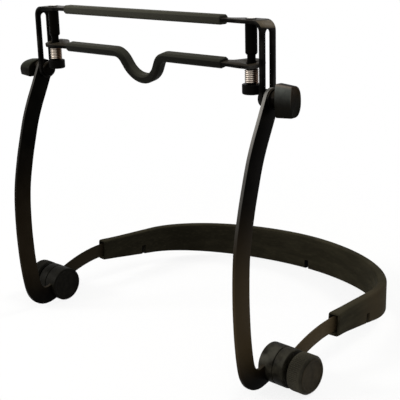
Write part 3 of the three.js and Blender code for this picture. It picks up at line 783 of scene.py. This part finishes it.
def swept(stations, spots, corner, material):
    """The mesh of a section drawn along stations.

    A station is (middle, across, upright, half across, half up, corner share), in millimetres.
    A spot of the section is (core across, core up, rim across, rim up).
    """
    middles, across, upright, *sizes = zip(*stations)
    places = [tuple(middle * MM) for middle in middles]
    line = point_mesh("stations", places, {
        "middle": places, "across": across, "upright": upright,
        "halves": [(a * MM, up * MM, share) for a, up, share in zip(*sizes)]})
    section = loose("section", point_mesh(
        "section", [(float(at), 0.0, 0.0) for at in range(len(spots))], {
            "core": [(*spot[:2], 0.0) for spot in spots],
            "rim": [(*spot[2:], 0.0) for spot in spots]}))
    mesh = grown("section_along_line", {
        "Section": section, "Corner": corner, "Material": material}, line)
    bpy.data.objects.remove(section)
    return mesh


def corner_spots(rim):
    """Repeats one corner's rim directions round the four corners of a section."""
    spots = []
    for quarter, (across, up) in enumerate(((1, 1), (-1, 1), (-1, -1), (1, -1))):
        turn = math.pi / 2 * quarter
        for x, y in rim:
            spots.append((across, up, x * math.cos(turn) - y * math.sin(turn),
                          x * math.sin(turn) + y * math.cos(turn)))
    return spots


def round_rim(steps):
    angles = [math.pi / 2 * k / steps for k in range(steps + 1)]
    return [(math.cos(angle), math.sin(angle)) for angle in angles]


def chamfer_rim():
    return [(1.0, -0.12), (0.985, 0.02), (0.93, 0.14), (0.14, 0.93), (0.02, 0.985), (-0.12, 1.0)]


def resampled(points, step):
    """Points evenly along a line, about a step apart."""
    lengths = [0.0]
    for a, b in zip(points, points[1:]):
        lengths.append(lengths[-1] + (b - a).length)
    count = max(2, round(lengths[-1] / step))
    result, at = [], 0
    for index in range(count + 1):
        want = lengths[-1] * index / count
        while at < len(points) - 2 and lengths[at + 1] < want:
            at += 1
        share = (want - lengths[at]) / (lengths[at + 1] - lengths[at])
        result.append(points[at].lerp(points[at + 1], share))
    return result


def directions(points):
    """The line's direction at each point."""
    pairs = zip([points[0], *points[:-1]], [*points[1:], points[-1]])
    return [(after - before).normalized() for before, after in pairs]


def pinched(station):
    """The same station closed to a point, to end a sweep."""
    return (*station[:3], 0.0, 0.0, 0.0)


def capped(stations, way_in, way_out, bore, edge, depth):
    """Adds softened ends with a blind slot where the strip inside comes out."""
    def end(station, inward):
        middle, across, up, half_across, half_up, corner = station
        face = [
            (middle + inward * depth, 0.0, 0.0, 0.0),
            (middle + inward * depth, *bore, 0.15),
            (middle, *bore, 0.15),
            (middle, half_across - edge, half_up - edge, corner * 0.7),
            (middle + inward * edge * 0.3, half_across - edge * 0.3, half_up - edge * 0.3,
             corner * 0.9),
        ]
        eased = (middle + inward * edge, *station[1:])
        return [(spot, across, up, *sizes) for spot, *sizes in face] + [eased]
    return [*end(stations[0], way_in), *stations[1:-1], *end(stations[-1], -way_out)[::-1]]


# Shapes of this holder, in millimetres in the frame shared with the CAD

ARM_LINE = (
    (0.1, 1), (0.28, 0.925), (0.45, 0.855), (0.583, 0.79), (0.7, 0.714), (0.822, 0.625),
    (0.933, 0.521), (0.984, 0.43), (1, 0.32), (0.99, 0.234), (0.965, 0.154), (0.917, 0.075),
    (0.852, 0.02), (0.72, -0.015), (0.52, -0.0275), (0.25, -0.016), (0, 0),
)
ARM_BOW = 31.44
PIVOT_DISTANCE = 163.4
ARM_STEP = 2.0
ARM_END_TURN = math.radians(7.6)
ARM_END_STEPS = 12
STRAP_REACH = 46.7
STRAP_RISE = 11.8
YOKE_SIDE = 48.9
YOKE_BOW = 73.9
YOKE_TAPER = 3.7
YOKE_POWER = 2 / 1.88
BOW_STEPS = 220
STRAP_STEPS = 24
SIDE_STEPS = 16
COLLAR_HEIGHTS = (15.5, 27.0)
COLLAR_THICKNESS = 6.8
COLLAR_FLARE = 0.7
FLARE_LENGTH = 9.0
FLARE_OUTWARD = 0.6
COLLAR_STEP = 2.0
COLLAR_EDGE = 0.6
COLLAR_SHARP = 50
CREASE_STEPS = 24
CREASE_DEPTH = 0.16
CREASE_WIDTH = 0.09
SLOT_HALF_TALL = 6.4
SLOT_DEPTH = 9.0
BAND_SIZE = (1.2, 10.3)
BAND_STEP = 3.0
STRIP_ROUND = 0.8
SLIT_SIZE = (3.2, 7.5)
SLIT_REACH = (8, 7)
SLIT_INSET = 40.0
BLADE_SPARE = 4
DIP_RADIUS = 15.4
DIP_WALL = 4.0
DIP_SHOULDER = 9.5
DIP_ANGLE = math.radians(60)
BAR_TILT = math.radians(10)
BAR_BACK = 7.8
BAR_HALF_THICK = 1.1
BAR_PAD_FORWARD = -2.2
BAR_BORE = (3.35, 1.25)
PAD_SPOT = 20.0
PAD_EDGE = 0.7
PAD_SLOT_DEPTH = 1.6
PAD_SHARP = 45
LOWER_PIVOT = "right_lower_knob"
UPPER_PIVOT = "right_clamp_bolt"


def pivot(node):
    """A pivot's place in Y and Z."""
    low, high = reach(node)
    return (low.y + high.y) / 2, (low.z + high.z) / 2


def arm_middle_line():
    """The arm's middle line from the upper pivot round the hook to the drum, in Y and Z."""
    pivot_y, pivot_z = pivot(LOWER_PIVOT)
    marks = [Vector((0, pivot_y - share[0] * ARM_BOW, pivot_z + share[1] * PIVOT_DISTANCE))
             for share in ARM_LINE]
    marks[0].y = pivot(UPPER_PIVOT)[0]
    fine = []
    steps = 24
    for at in range(len(marks) - 1):
        p0, p1 = marks[max(at - 1, 0)], marks[at]
        p2, p3 = marks[at + 1], marks[min(at + 2, len(marks) - 1)]
        for step in range(steps):
            t = step / steps
            leave, arrive = (p2 - p0) * 0.5, (p3 - p1) * 0.5
            fine.append((2 * p1 - 2 * p2 + leave + arrive) * t ** 3
                        + (-3 * p1 + 3 * p2 - 2 * leave - arrive) * t ** 2 + leave * t + p1)
    fine.append(marks[-1])
    return fine


def yoke_line():
    """The yoke's middle line from right eye to left, and the collar's first and last Y."""
    pivot_y, pivot_z = pivot(LOWER_PIVOT)
    low, high = reach("neck_spring")
    plane = (high.x - low.x) / 2 - BAND_SIZE[0] / 2
    half_width = plane - YOKE_TAPER
    bend = STRAP_REACH + YOKE_SIDE
    back = bend + YOKE_BOW
    start = pivot_z + STRAP_RISE
    strap = [Vector((plane, STRAP_REACH * k / STRAP_STEPS,
                     pivot_z + STRAP_RISE * (1 - (1 - k / STRAP_STEPS) ** 2)))
             for k in range(STRAP_STEPS)]

    def collar(x, y):
        share = (y - STRAP_REACH) / (back - STRAP_REACH)
        return Vector((x, y, start + (COLLAR_HEIGHTS[1] / 2 - start) * share))
    side = [collar(plane - YOKE_TAPER * k / SIDE_STEPS, STRAP_REACH + YOKE_SIDE * k / SIDE_STEPS)
            for k in range(SIDE_STEPS)]
    bow = []
    for k in range(BOW_STEPS + 1):
        angle = math.pi / 2 * k / BOW_STEPS
        bow.append(collar(half_width * max(math.cos(angle), 0.0) ** YOKE_POWER,
                          bend + YOKE_BOW * math.sin(angle) ** YOKE_POWER))
    half = [*strap, *side, *bow]
    move = Vector((0, pivot_y, 0))
    whole = half + [Vector((-p.x, p.y, p.z)) for p in half[-2::-1]]
    return [p + move for p in whole], pivot_y + STRAP_REACH, pivot_y + back


def band_halves(_):
    """Half the spring band's thickness and height, the same at every point."""
    return BAND_SIZE[0] / 2, BAND_SIZE[1] / 2


def yoke_stations(points, halves):
    stations = []
    for point, along in zip(points, directions(points)):
        across = Vector((along.y, -along.x, 0)).normalized()
        stations.append((point, across, across.cross(along), *halves(point), 1.0))
    return stations


def dip_line(half_length):
    """The lower bar's middle line in X and Z: flat with a round dip in the middle."""
    edge = Vector((DIP_RADIUS * math.sin(DIP_ANGLE), 0, DIP_RADIUS * (1 - math.cos(DIP_ANGLE))))
    top = edge + Vector((math.cos(DIP_ANGLE), 0, math.sin(DIP_ANGLE))) * DIP_WALL
    depth = top.z + DIP_SHOULDER * (1 - math.cos(DIP_ANGLE))
    half = []
    for k in range(33):
        turn = DIP_ANGLE * k / 32
        half.append(Vector((DIP_RADIUS * math.sin(turn), 0,
                            DIP_RADIUS * (1 - math.cos(turn)) - depth)))
    shoulder = top.x + DIP_SHOULDER * math.sin(DIP_ANGLE)
    for k in range(17):
        turn = DIP_ANGLE * (1 - k / 16)
        half.append(Vector((shoulder - DIP_SHOULDER * math.sin(turn), 0,
                            -DIP_SHOULDER * (1 - math.cos(turn)))))
    half.append(Vector((half_length, 0, 0)))
    return [Vector((-p.x, 0, p.z)) for p in half[:0:-1]] + half


def collar_line():
    """The collar's middle line, and a function that gives its half thickness and half height."""
    line, pad_start, pad_end = yoke_line()
    front, back = COLLAR_HEIGHTS

    def halves(point):
        share = (point.y - pad_start) / (pad_end - pad_start)
        return COLLAR_THICKNESS / 2, (front + (back - front) * share) / 2
    covered = [point for point in line if point.y >= pad_start - 0.001]
    return resampled(covered, COLLAR_STEP), halves


def slit_places():
    """Middle, directions and top of each short slit. The outer two are set in from the ends."""
    points, halves = collar_line()
    count = bpy.context.scene.holder_sizes.collar_slits
    line = resampled(points, 1.0)
    ways = directions(line)
    inset = SLIT_INSET / len(line)
    places = []
    for number in range(count):
        share = inset + (1 - 2 * inset) * number / max(1, count - 1)
        at = round(share * (len(line) - 1))
        across = Vector((ways[at].y, -ways[at].x, 0)).normalized()
        foot = line[at] - across.cross(ways[at]) * halves(line[at])[1]
        places.append((line[at], ways[at], across, foot.z + SLIT_SIZE[1]))
    return places


def slit(mesh):
    """Cuts the short slits up into the lower edge."""
    blades = bmesh.new()
    tall = SLIT_SIZE[1] + BLADE_SPARE
    for middle, along, across, top in slit_places():
        spot = Vector((middle.x, middle.y, top - tall / 2))
        turn = Matrix((across, along, across.cross(along))).transposed().to_4x4()
        size = Matrix.Diagonal((COLLAR_THICKNESS + BLADE_SPARE, SLIT_SIZE[0], tall, 1))
        bmesh.ops.create_cube(blades, size=1, matrix=(
            Matrix.Scale(MM, 4) @ Matrix.Translation(spot) @ turn @ size))
    blade_mesh = bpy.data.meshes.new("blades")
    blades.to_mesh(blade_mesh)
    blades.free()
    cutter = loose("blades", blade_mesh)
    thing = loose("collar_cut", mesh)
    cut = thing.modifiers.new("cut", "BOOLEAN")
    cut.operation = "DIFFERENCE"
    cut.solver = "EXACT"
    cut.object = cutter
    done = final_mesh(thing)
    bpy.data.objects.remove(cutter)
    return done


def collar_section():
    """Round corners, with a shallow crease along the middle of the inner face."""
    rim = round_rim(5)
    spots = corner_spots(rim)
    crease = []
    for k in range(1, CREASE_STEPS):
        up = 1 - 2 * k / CREASE_STEPS
        dent = CREASE_DEPTH * math.exp(-(up / CREASE_WIDTH) ** 2)
        crease.append((-1.0, up, -1.0 + dent, 0.0))
    at = 2 * len(rim)
    return [*spots[:at], *crease, *spots[at:]]


# Outlines of the turned pieces, from their length and radius. Points are radius, along, round

ROD = 2.45
POST_BORE = 2.55
BOLT = 2.5
CLAMP_BORE = 2.6
STUD_BORE = 3.1
DRUM_BORE = 3.3
RIVET_TALL = 0.9
HEAD_TALL = 2.8
FLANGE = 1.3
RIB_DEPTH = 0.35
RIB_RADIUS = 0.45
RIB_SUNK = 0.1
RIB_SHORTER = 2.9
RIB_BACK = 0.25
CLOSED_CURLS = 0.8
WIRE_POINTS = 221
FINE = 96
ROUNDER = 128


def post_outline(length, head):
    shoulder = length - RIVET_TALL
    return [(0, 0, 0), (ROD, 0, 0.3), (ROD, shoulder, 0), (head, shoulder, 0.1),
            (head, shoulder + 0.4, 0.3), (head * 0.72, length - 0.05, 0.6),
            (head * 0.5, length, 0.2), (head * 0.42, length - 0.18, 0.2), (0, length - 0.22, 0)]


def sleeve_outline(length, radius):
    return [(POST_BORE, 0, 0), (radius - 0.7, 0, 0.15), (radius, 0.9, 0.3),
            (radius, length - 0.3, 0.2), (radius - 0.3, length, 0.1), (POST_BORE, length, 0)]


def cap_outline(length, radius):
    return [(0, 0.25, 0), (radius - 2.2, 0, 0.8), (radius, 0.2, 1.5), (radius, length, 1.1),
            (radius - 1.3, length, 0.3), (POST_BORE, length, 0), (POST_BORE, 2.0, 0), (0, 2.0, 0)]


def bolt_outline(length, radius):
    return [(0, 0, 0), (radius - 1.4, 0.05, 0.8), (radius, 0.9, 0.8), (radius, HEAD_TALL, 0.15),
            (BOLT, HEAD_TALL, 0), (BOLT, length, 0.2), (0, length, 0)]


def collar_outline(length, radius):
    neck = radius - 1.2
    return [(CLAMP_BORE, 0, 0), (radius, 0, 0.3), (radius, FLANGE, 0.4), (neck, FLANGE, 0.25),
            (neck, length, 0.3), (CLAMP_BORE, length, 0)]


def arm_drum_outline(length, radius):
    return [(0, 0.35, 0), (radius - 2.2, 0.35, 0.15), (radius - 1.7, 0, 0.3), (radius, 0, 1.2),
            (radius, length, 0.7), (0, length, 0)]


def neck_drum_outline(length, radius):
    return [(DRUM_BORE, 0, 0), (radius, 0, 0.7), (radius, length, 1.2),
            (radius - 1.8, length, 0.3), (radius - 2.2, length - 0.3, 0.15),
            (DRUM_BORE, length - 0.3, 0)]


def spacer_outline(length, radius):
    return [(STUD_BORE, 0, 0), (radius, 0, 0.2), (radius, length, 0.2), (STUD_BORE, length, 0)]


def knob_outline(length, radius):
    rim = radius - RIB_DEPTH
    return [(STUD_BORE, 0, 0), (rim - 1.0, 0, 0.3), (rim, 1.0, 0.4), (rim, length - 1.5, 0.3),
            (rim - 1.3, length, 0.6), (rim - 2.6, length, 0.25), (rim - 2.9, length - 0.45, 0.15),
            (0, length - 0.45, 0), (0, length - 2.5, 0), (STUD_BORE, length - 2.5, 0)]


POST_PIECES = (
    ("post", "riveted_post", "riveted_enamel", "black_steel", FINE, post_outline),
    ("sleeve", "spacer_sleeve", "black_enamel", "black_steel", FINE, sleeve_outline),
    ("end_cap", "cap", "drum_moulding", "moulded_black", FINE, cap_outline),
)
CLAMP_PIECES = (
    ("clamp_bolt", "slot_bolt", "black_enamel", "black_steel", FINE, bolt_outline),
    ("clamp_collar", "spacing_collar", "black_enamel", "spring_steel", FINE, collar_outline),
)
DRUM_PIECES = (
    ("arm_hub", "arm_drum", "drum_moulding", "moulded_black", ROUNDER, arm_drum_outline),
    ("neck_hub", "neck_drum", "drum_moulding", "moulded_black", ROUNDER, neck_drum_outline),
    ("pivot_spacer", "pivot_neck", "black_enamel", "spring_steel", FINE, spacer_outline),
    ("lower_knob", "knob_drum", "drum_moulding", "moulded_black", ROUNDER, knob_outline),
)

# The thumb knobs' rings: share of the length, share of the height, share of the depth

THUMB_RINGS = (
    (0, 0.86, 0.84), (0, 0.93, 0.92), (0.03, 0.985, 0.985), (0.07, 1, 1), (0.5, 0.965, 0.93),
    (0.93, 0.928, 0.868), (0.965, 0.918, 0.85), (0.99, 0.895, 0.81), (1.0, 0.86, 0.76),
    (1.0, 0.8, 0.68), (0.985, 0.77, 0.64), (0.985, 0.3, 0.2),
)
THUMB_TURNS = {"right": 0, "left": 98}
THUMB_HALF_TALL = 9.6
THUMB_FRONT = -4.4
THUMB_SHOULDER = -0.6
THUMB_BACK = 6.0
THUMB_CORNER = 0.9
THUMB_HOLLOW = 0.8
THUMB_FULLNESS = 0.85
THUMB_SHARP = 34


def thumb_section():
    """A nearly flat front, short flat ends and a round back. Pairs of depth and height."""
    tall, front, corner = THUMB_HALF_TALL, THUMB_FRONT, THUMB_CORNER
    spots = []
    for k in range(25):
        share = k / 12 - 1
        spots.append((front - THUMB_HOLLOW * (1 - share * share), (tall - corner) * share))
    spots += [(front + corner * 0.3, tall - corner * 0.3), (front + corner, tall)]
    for k in range(33):
        angle = math.pi / 2 * (1 - k / 16)
        depth = THUMB_SHOULDER + (THUMB_BACK - THUMB_SHOULDER) * math.cos(angle) ** THUMB_FULLNESS
        height = tall * math.copysign(abs(math.sin(angle)) ** THUMB_FULLNESS, math.sin(angle))
        spots.append((depth, height))
    spots += [(front + corner, -tall), (front + corner * 0.3, -tall + corner * 0.3)]
    return spots


def thumb_form(side, direction):
    """Points and faces of a thumb knob: its section, turned on the pivot, scaled at each ring."""
    start, length, _ = seat(side + "_thumb_knob", direction)
    pivot_y, pivot_z = pivot(UPPER_PIVOT)
    turn = math.radians(THUMB_TURNS[side])
    section = thumb_section()
    size = len(section)
    points = []
    for along, tall, deep in THUMB_RINGS:
        for across, up in section:
            a, u = across * deep, up * tall
            points.append(Vector((
                start.x + direction.x * length * along * MM,
                (pivot_y + a * math.cos(turn) - u * math.sin(turn)) * MM,
                (pivot_z + a * math.sin(turn) + u * math.cos(turn)) * MM)))
    ends = [tuple(range(size)), tuple(range(len(points) - size, len(points)))]
    faces = ring_faces(len(THUMB_RINGS), size) + ends
    return {"points": points, "faces": faces, "sharp": THUMB_SHARP}


# Operators, one for each group of pieces

class HOLDER_OT_finishes(Operator):
    """Makes the finishes of the holder"""
    bl_idname = "holder.finishes"
    bl_label = "Finishes"

    def execute(self, context):
        for name in FINISHES:
            finish(name)
        sweep_tree()
        coil_tree()
        rib_tree()
        for node in frame["nodes"].values():
            node.data.materials.clear()
            node.data.materials.append(finish("black_enamel"))
        return {"FINISHED"}


class HOLDER_OT_arms(Operator):
    """Bends the two flat arms"""
    bl_idname = "holder.arms"
    bl_label = "Arms"

    def execute(self, context):
        points = resampled(arm_middle_line(), ARM_STEP)
        ways = directions(points)
        half = reach("right_arm")[1].z - pivot(UPPER_PIVOT)[1]
        for side in SIDES:
            low, high = reach(side + "_arm")
            middle_x = (low.x + high.x) / 2
            half_thick = (high.x - low.x) / 2
            stations = [(Vector((middle_x, point.y, point.z)), X, Vector((0, -along.z, along.y)),
                         half_thick, half, 1.0) for point, along in zip(points, ways)]
            head = self.round_end(stations[0], -ways[0])
            tail = self.round_end(stations[-1], ways[-1])
            whole = [pinched(head[-1]), *head[::-1], *stations, *tail, pinched(tail[-1])]
            mesh = swept(whole, corner_spots(round_rim(3)), context.scene.holder_sizes.edge_round,
                         finish("arm_enamel"))
            dress(side + "_arm", side + "_bent_arm", "arm_enamel", "black_steel", mesh=mesh)
        return {"FINISHED"}

    @staticmethod
    def round_end(station, way):
        middle, across, upright, half_thick, half, _ = station
        angles = [ARM_END_TURN * k for k in range(1, ARM_END_STEPS)]
        return [(middle + way * half * math.sin(angle), across, upright, half_thick,
                 half * math.cos(angle), 1.0) for angle in angles]


class HOLDER_OT_frame(Operator):
    """Rounds the slotted upper frame and the sprung lower bar"""
    bl_idname = "holder.frame"
    bl_label = "Frame and bar"

    def execute(self, context):
        for node in ("upper_frame", "lower_bar"):
            mesh = rounded_copy(node, context.scene.holder_sizes.edge_round * STRIP_ROUND)
            dress(node, node + "_strip", "black_enamel", "black_steel", mesh=mesh)
        return {"FINISHED"}


class HOLDER_OT_bar_sleeves(Operator):
    """Draws the chamfered rubber sleeves along the two bars"""
    bl_idname = "holder.bar_sleeves"
    bl_label = "Rubber sleeves"

    def execute(self, context):
        low, high = reach("upper_pad")
        middle, halves = (low + high) / 2, (high - low) / 2
        upper = [(Vector((x, middle.y, middle.z)), Y, -Z, halves.y, halves.z, 1.0)
                 for x in (-halves.x, -PAD_SPOT, PAD_SPOT, halves.x)]
        tilt = Matrix.Rotation(BAR_TILT, 3, "X")
        centre = Vector((0, pivot(UPPER_PIVOT)[0], self.bar_height()))
        line = dip_line(halves.x)
        lower = [(centre + tilt @ Vector((point.x, BAR_PAD_FORWARD, point.z)), tilt @ Y,
                  tilt @ Vector((along.z, 0, -along.x)), halves.y, halves.z, 1.0)
                 for point, along in zip(line, directions(line))]
        for name, stations in (("upper", upper), ("lower", lower)):
            mesh = swept(capped(stations, X, X, BAR_BORE, PAD_EDGE, PAD_SLOT_DEPTH),
                         corner_spots(chamfer_rim()), context.scene.holder_sizes.bar_pad_chamfer,
                         finish("bar_rubber"))
            sleeve = dress(name + "_pad", name + "_rubber", "bar_rubber", "black_rubber",
                           mesh=mesh, sharp=PAD_SHARP)
        return {"FINISHED"}

    @staticmethod
    def bar_height():
        """Height of the lower bar's middle plane on the line of the posts."""
        top = reach("lower_bar")[1].z
        return top - BAR_BACK * math.sin(BAR_TILT) - BAR_HALF_THICK * math.cos(BAR_TILT)


class HOLDER_OT_posts(Operator):
    """Turns the guide posts, their sleeves and the end caps"""
    bl_idname = "holder.posts"
    bl_label = "Posts and caps"

    def execute(self, context):
        for side in SIDES:
            turned_pieces(POST_PIECES, side, Z)
        return {"FINISHED"}


class HOLDER_OT_springs(Operator):
    """Winds the two clamping springs"""
    bl_idname = "holder.springs"
    bl_label = "Springs"

    def execute(self, context):
        sizes = context.scene.holder_sizes
        for side in SIDES:
            node = side + "_spring"
            foot, length, radius = seat(node, Z)
            mesh = grown("coil_spring", {
                "Curls": sizes.curls, "Radius": radius * MM, "Length": length * MM,
                "Wire": sizes.wire, "Closed Curls": CLOSED_CURLS, "Points": WIRE_POINTS,
                "Material": finish("bright_plating")})
            mesh.transform(Matrix.Translation(foot))
            spring = piece(
                side + "_coil", finish("bright_plating"), "bright_steel", None, mesh=mesh)
            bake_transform(spring)
            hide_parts(node)
        return {"FINISHED"}


class HOLDER_OT_clamp_pivots(Operator):
    """Turns the clamp bolts and collars and shapes the thumb knobs"""
    bl_idname = "holder.clamp_pivots"
    bl_label = "Upper pivots"

    def execute(self, context):
        for side, sign in SIDES.items():
            turned_pieces(CLAMP_PIECES, side, X * sign)
            dress(side + "_thumb_knob", side + "_thumb_grip", "thumb_moulding", "moulded_black",
                  **thumb_form(side, X * sign))
        return {"FINISHED"}


class HOLDER_OT_lower_pivots(Operator):
    """Turns the drums, spacers and ribbed knobs of the lower pivots"""
    bl_idname = "holder.lower_pivots"
    bl_label = "Lower pivots"

    def execute(self, context):
        for side, sign in SIDES.items():
            turned_pieces(DRUM_PIECES, side, X * sign)
            self.ribs(side, X * sign, context.scene.holder_sizes.knob_ribs)
        return {"FINISHED"}

    @staticmethod
    def ribs(side, direction, count):
        node = side + "_lower_knob"
        start, length, radius = seat(node, direction)
        ribs = grown("rim_ribs", {
            "Count": count, "Rim": (radius - RIB_DEPTH - RIB_SUNK) * MM, "Rib": RIB_RADIUS * MM,
            "Length": (length - RIB_SHORTER) * MM, "Material": finish("drum_moulding")})
        ribs.transform(Matrix.Translation(start + direction * (length / 2 - RIB_BACK) * MM))
        piece(side + "_knob_ribs", finish("drum_moulding"), "moulded_black", body_of(node),
              mesh=ribs)


class HOLDER_OT_yoke(Operator):
    """Bends the spring band and the padded collar round the neck"""
    bl_idname = "holder.yoke"
    bl_label = "Yoke"

    def execute(self, context):
        sizes = context.scene.holder_sizes
        stations = yoke_stations(resampled(yoke_line()[0], BAND_STEP), band_halves)
        whole = [pinched(stations[0]), *stations, pinched(stations[-1])]
        mesh = swept(whole, corner_spots(round_rim(3)), sizes.edge_round,
                     finish("blackened_spring"))
        dress("neck_spring", "neck_band", "blackened_spring", "spring_steel", mesh=mesh)

        points, halves = collar_line()
        ways = directions(points)
        stations = yoke_stations(points, halves)
        for at, (middle, across, upright, half_across, half_up, corner) in enumerate(stations):
            from_end = min(at, len(stations) - 1 - at) * COLLAR_STEP
            flare = COLLAR_FLARE * math.exp(-(from_end / FLARE_LENGTH) ** 2)
            stations[at] = (middle + across * flare * FLARE_OUTWARD, across, upright,
                            half_across + flare, half_up, corner)
        bore = (COLLAR_THICKNESS / 2 + COLLAR_FLARE - 1.0, SLOT_HALF_TALL)
        whole = capped(stations, ways[0], ways[-1], bore, COLLAR_EDGE, SLOT_DEPTH)
        mesh = slit(swept(whole, collar_section(), sizes.collar_corner, finish("collar_foam")))
        collar = dress("neck_pad", "neck_collar", "collar_foam", "black_rubber",
                       mesh=mesh, sharp=COLLAR_SHARP)
        return {"FINISHED"}


# The stage. The camera's place is in millimetres, its turns in degrees

FLOOR_SPAN = 6.0
FLOOR_LEVEL = -0.0003
LIT_MIDDLE = Vector((0.0, 0.0, 0.11))
LAMPS = (
    ("key", (-0.70, -0.85, 0.65), 0.3, 9.0, (1.0, 0.98, 0.95)),
    ("fill", (0.9, -1.0, 0.9), 0.8, 4.0, (1.0, 0.97, 0.92)),
    ("rim", (0.35, 1.0, 1.05), 0.4, 9.0, (1.0, 0.97, 0.92)),
)
CAMERA_TURNS = (43.94, 16.42, -1.53)
CAMERA_AT = Vector((435.28, -475.03, 271.33))
SENSOR_WIDTH = 36.0
FOCAL_SHARE = 940.72 / 400


def background_rays(sketch):
    """1 for rays that should find the white background, straight or in metal."""
    rays = sketch.node("ShaderNodeLightPath").outputs()
    return rays["Is Camera Ray"].most(rays["Is Glossy Ray"]).most(rays["Is Transmission Ray"])


class HOLDER_OT_stage(Operator):
    """Sets the pale floor, the soft lights and the camera"""
    bl_idname = "holder.stage"
    bl_label = "Stage"

    def execute(self, context):
        self.floor()
        self.world(context.scene)
        self.lights()
        self.camera(context.scene)
        context.scene.view_settings.view_transform = "Standard"
        return {"FINISHED"}

    @staticmethod
    def floor():
        """Matt for light, so that it keeps the shadow, and nearly clear to the camera."""
        mesh = bpy.data.meshes.new("floor")
        corners = ((-1, -1), (1, -1), (1, 1), (-1, 1))
        mesh.from_pydata([(x * FLOOR_SPAN, y * FLOOR_SPAN, FLOOR_LEVEL) for x, y in corners],
                         [], [(0, 1, 2, 3)])
        material = bpy.data.materials.new("pale_floor")
        sketch = blank(material)
        across, along, _ = sketch.parts(sketch.place())
        away = (across * across + along * along) ** 0.5
        white = (0.86 + away.ramp(0.16, 0.5) * 0.14).least(1.0)
        matt = sketch.node("ShaderNodeBsdfDiffuse", {"Color": (0.93, 0.93, 0.93)})
        clear = sketch.node("ShaderNodeBsdfTransparent", {"Color": (1.0, 1.0, 1.0)})
        mixed = sketch.node("ShaderNodeMixShader", {
            0: background_rays(sketch) * white, 1: matt, 2: clear})
        sketch.node("ShaderNodeOutputMaterial", {"Surface": mixed})
        mesh.materials.append(material)
        loose("floor", mesh)

    @staticmethod
    def world(scene):
        scene.world = bpy.data.worlds.new("studio")
        sketch = blank(scene.world)
        strength = 0.45 + background_rays(sketch) * 0.55
        glow = sketch.node("ShaderNodeBackground", {
            "Color": (1.0, 1.0, 1.0), "Strength": strength})
        sketch.node("ShaderNodeOutputWorld", {"Surface": glow})

    @staticmethod
    def lights():
        for name, spot, size, power, tone in LAMPS:
            lamp = bpy.data.lights.new(name, "AREA")
            lamp.size = size
            lamp.energy = power
            lamp.color = tone
            spot = Vector(spot)
            aim = (LIT_MIDDLE - spot).to_track_quat("-Z", "Y").to_matrix().to_4x4()
            loose(name, lamp).matrix_world = Matrix.Translation(spot) @ aim

    @staticmethod
    def camera(scene):
        around, above, roll = (math.radians(angle) for angle in CAMERA_TURNS)
        lens = bpy.data.cameras.new("photo_view")
        lens.sensor_width = SENSOR_WIDTH
        lens.lens = SENSOR_WIDTH * FOCAL_SHARE
        scene.camera = loose("photo_view", lens)
        scene.camera.matrix_world = (
            Matrix.Translation(CAMERA_AT * MM) @ Matrix.Rotation(around, 4, "Z")
            @ Matrix.Rotation(math.pi / 2 - above, 4, "X") @ Matrix.Rotation(roll, 4, "Z"))


class HOLDER_PT_panel(Panel):
    """Lists the holder's sizes, finishes and steps"""
    bl_label = "Harmonica holder"
    bl_idname = "HOLDER_PT_panel"
    bl_space_type = "VIEW_3D"
    bl_region_type = "UI"
    bl_category = "Holder"

    def draw(self, context):
        for group in (context.scene.holder_sizes, context.scene.holder_finishes):
            box = self.layout.box()
            for key in group.__annotations__:
                box.prop(group, key)
        for step in STEPS:
            self.layout.operator(step.bl_idname)


STEPS = (
    HOLDER_OT_finishes, HOLDER_OT_arms, HOLDER_OT_frame, HOLDER_OT_bar_sleeves, HOLDER_OT_posts,
    HOLDER_OT_springs, HOLDER_OT_clamp_pivots, HOLDER_OT_lower_pivots, HOLDER_OT_yoke,
    HOLDER_OT_stage,
)
CLASSES = (HolderSizes, HolderFinishes, *STEPS, HOLDER_PT_panel)


def register():
    for part in CLASSES:
        bpy.utils.register_class(part)
    bpy.types.Scene.holder_sizes = PointerProperty(type=HolderSizes)
    bpy.types.Scene.holder_finishes = PointerProperty(type=HolderFinishes)


def unregister():
    del bpy.types.Scene.holder_finishes
    del bpy.types.Scene.holder_sizes
    for part in reversed(CLASSES):
        bpy.utils.unregister_class(part)


def main():
    register()
    for step in STEPS:
        group, name = step.bl_idname.split(".")
        getattr(getattr(bpy.ops, group), name)()


if __name__ == "__main__":
    main()
